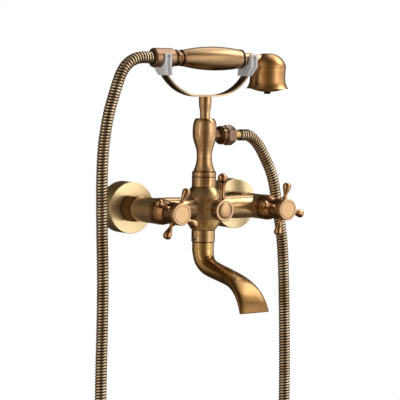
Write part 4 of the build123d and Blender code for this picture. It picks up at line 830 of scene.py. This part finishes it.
def light_world():
    """Plain white to the camera, a soft fill, and the studio's sides in the metal's gloss."""
    world = bpy.data.worlds.new("studio")
    bpy.context.scene.world = world
    world.use_nodes = True
    tree = world.node_tree
    tree.nodes.clear()
    toward = add_node(tree, "ShaderNodeTexCoord").outputs["Generated"]
    level = vector_maths(tree, "MULTIPLY", toward, (1, 1, 0)).outputs[0]
    level = vector_maths(tree, "NORMALIZE", level).outputs[0]
    slope = add_node(tree, "ShaderNodeSeparateXYZ", {0: toward}).outputs["Z"]
    mirrored = studio_brown
    for heading, half, soft, lowest, highest, fade, tone in studio_sides:
        angle = radians(heading)
        facing = (sin(angle), -cos(angle), 0)
        ahead = vector_maths(tree, "DOT_PRODUCT", level, facing).outputs["Value"]
        across = smooth_step(tree, ahead, cos(radians(half + soft)), cos(radians(half - soft)))
        above = smooth_step(tree, slope, lowest - fade, lowest + fade)
        below = smooth_step(tree, slope, highest + fade, highest - fade)
        share = maths(tree, "MULTIPLY", maths(tree, "MULTIPLY", across, above), below)
        mirrored = mixed(tree, share, mirrored, tone)
    rays = add_node(tree, "ShaderNodeLightPath").outputs
    seen_straight = maths(tree, "ADD", rays["Is Camera Ray"], rays["Is Transmission Ray"])
    plain = mixed(tree, seen_straight, fill_light, white)
    colour = mixed(tree, rays["Is Glossy Ray"], plain, mirrored)
    light = add_node(tree, "ShaderNodeBackground", {"Color": colour, "Strength": 1.0})
    add_node(tree, "ShaderNodeOutputWorld", {"Surface": light.outputs[0]})


def area_lamp(name, place, size, power):
    """Rectangular lamp turned towards the middle of the mixer."""
    lamp = bpy.data.lights.new(name, "AREA")
    lamp.shape = "RECTANGLE"
    lamp.size, lamp.size_y = size
    lamp.energy = power
    holder = bpy.data.objects.new(name, lamp)
    aim = Vector((0, axis_depth, 0)) - Vector(place)
    holder.rotation_mode = "QUATERNION"
    holder.rotation_quaternion = aim.to_track_quat("-Z", "Y")
    holder.location = place
    bpy.context.scene.collection.objects.link(holder)


def make_floor():
    """Round pale floor that fades into the white background towards its rim."""
    shape = bmesh.new()
    bmesh.ops.create_circle(shape, cap_ends=True, segments=64, radius=floor_radius)
    bmesh.ops.translate(shape, verts=shape.verts, vec=(0, axis_depth, floor_height))
    floor = finished("floor", shape)
    material, tree, surface = start_material("pale_floor")
    feed(tree, surface, {"Base Color": (0.86, 0.86, 0.85, 1), "Roughness": 0.8})
    from_middle = vector_maths(tree, "LENGTH", object_place(tree)).outputs["Value"]
    fade = ramp(tree, from_middle, floor_fade_start, floor_radius)
    glow = add_node(tree, "ShaderNodeEmission", {"Color": white}).outputs[0]
    both = add_node(tree, "ShaderNodeMixShader", {0: fade, 1: surface.outputs[0], 2: glow})
    feed(tree, tree.nodes["Material Output"], {"Surface": both.outputs[0]})
    dress(floor, material)
    floor.visible_glossy = False


bpy.context.scene.view_settings.view_transform = "Standard"
light_world()
area_lamp("left_strip", (-1.9, -0.15, 0.35), (0.35, 1.5), 3)
area_lamp("right_box", (0.95, -1.8, 0.35), (0.9, 1.2), 4)
area_lamp("top_box", (1.38, -0.43, 1.25), (1.2, 0.8), 9)
make_floor()
place_camera()
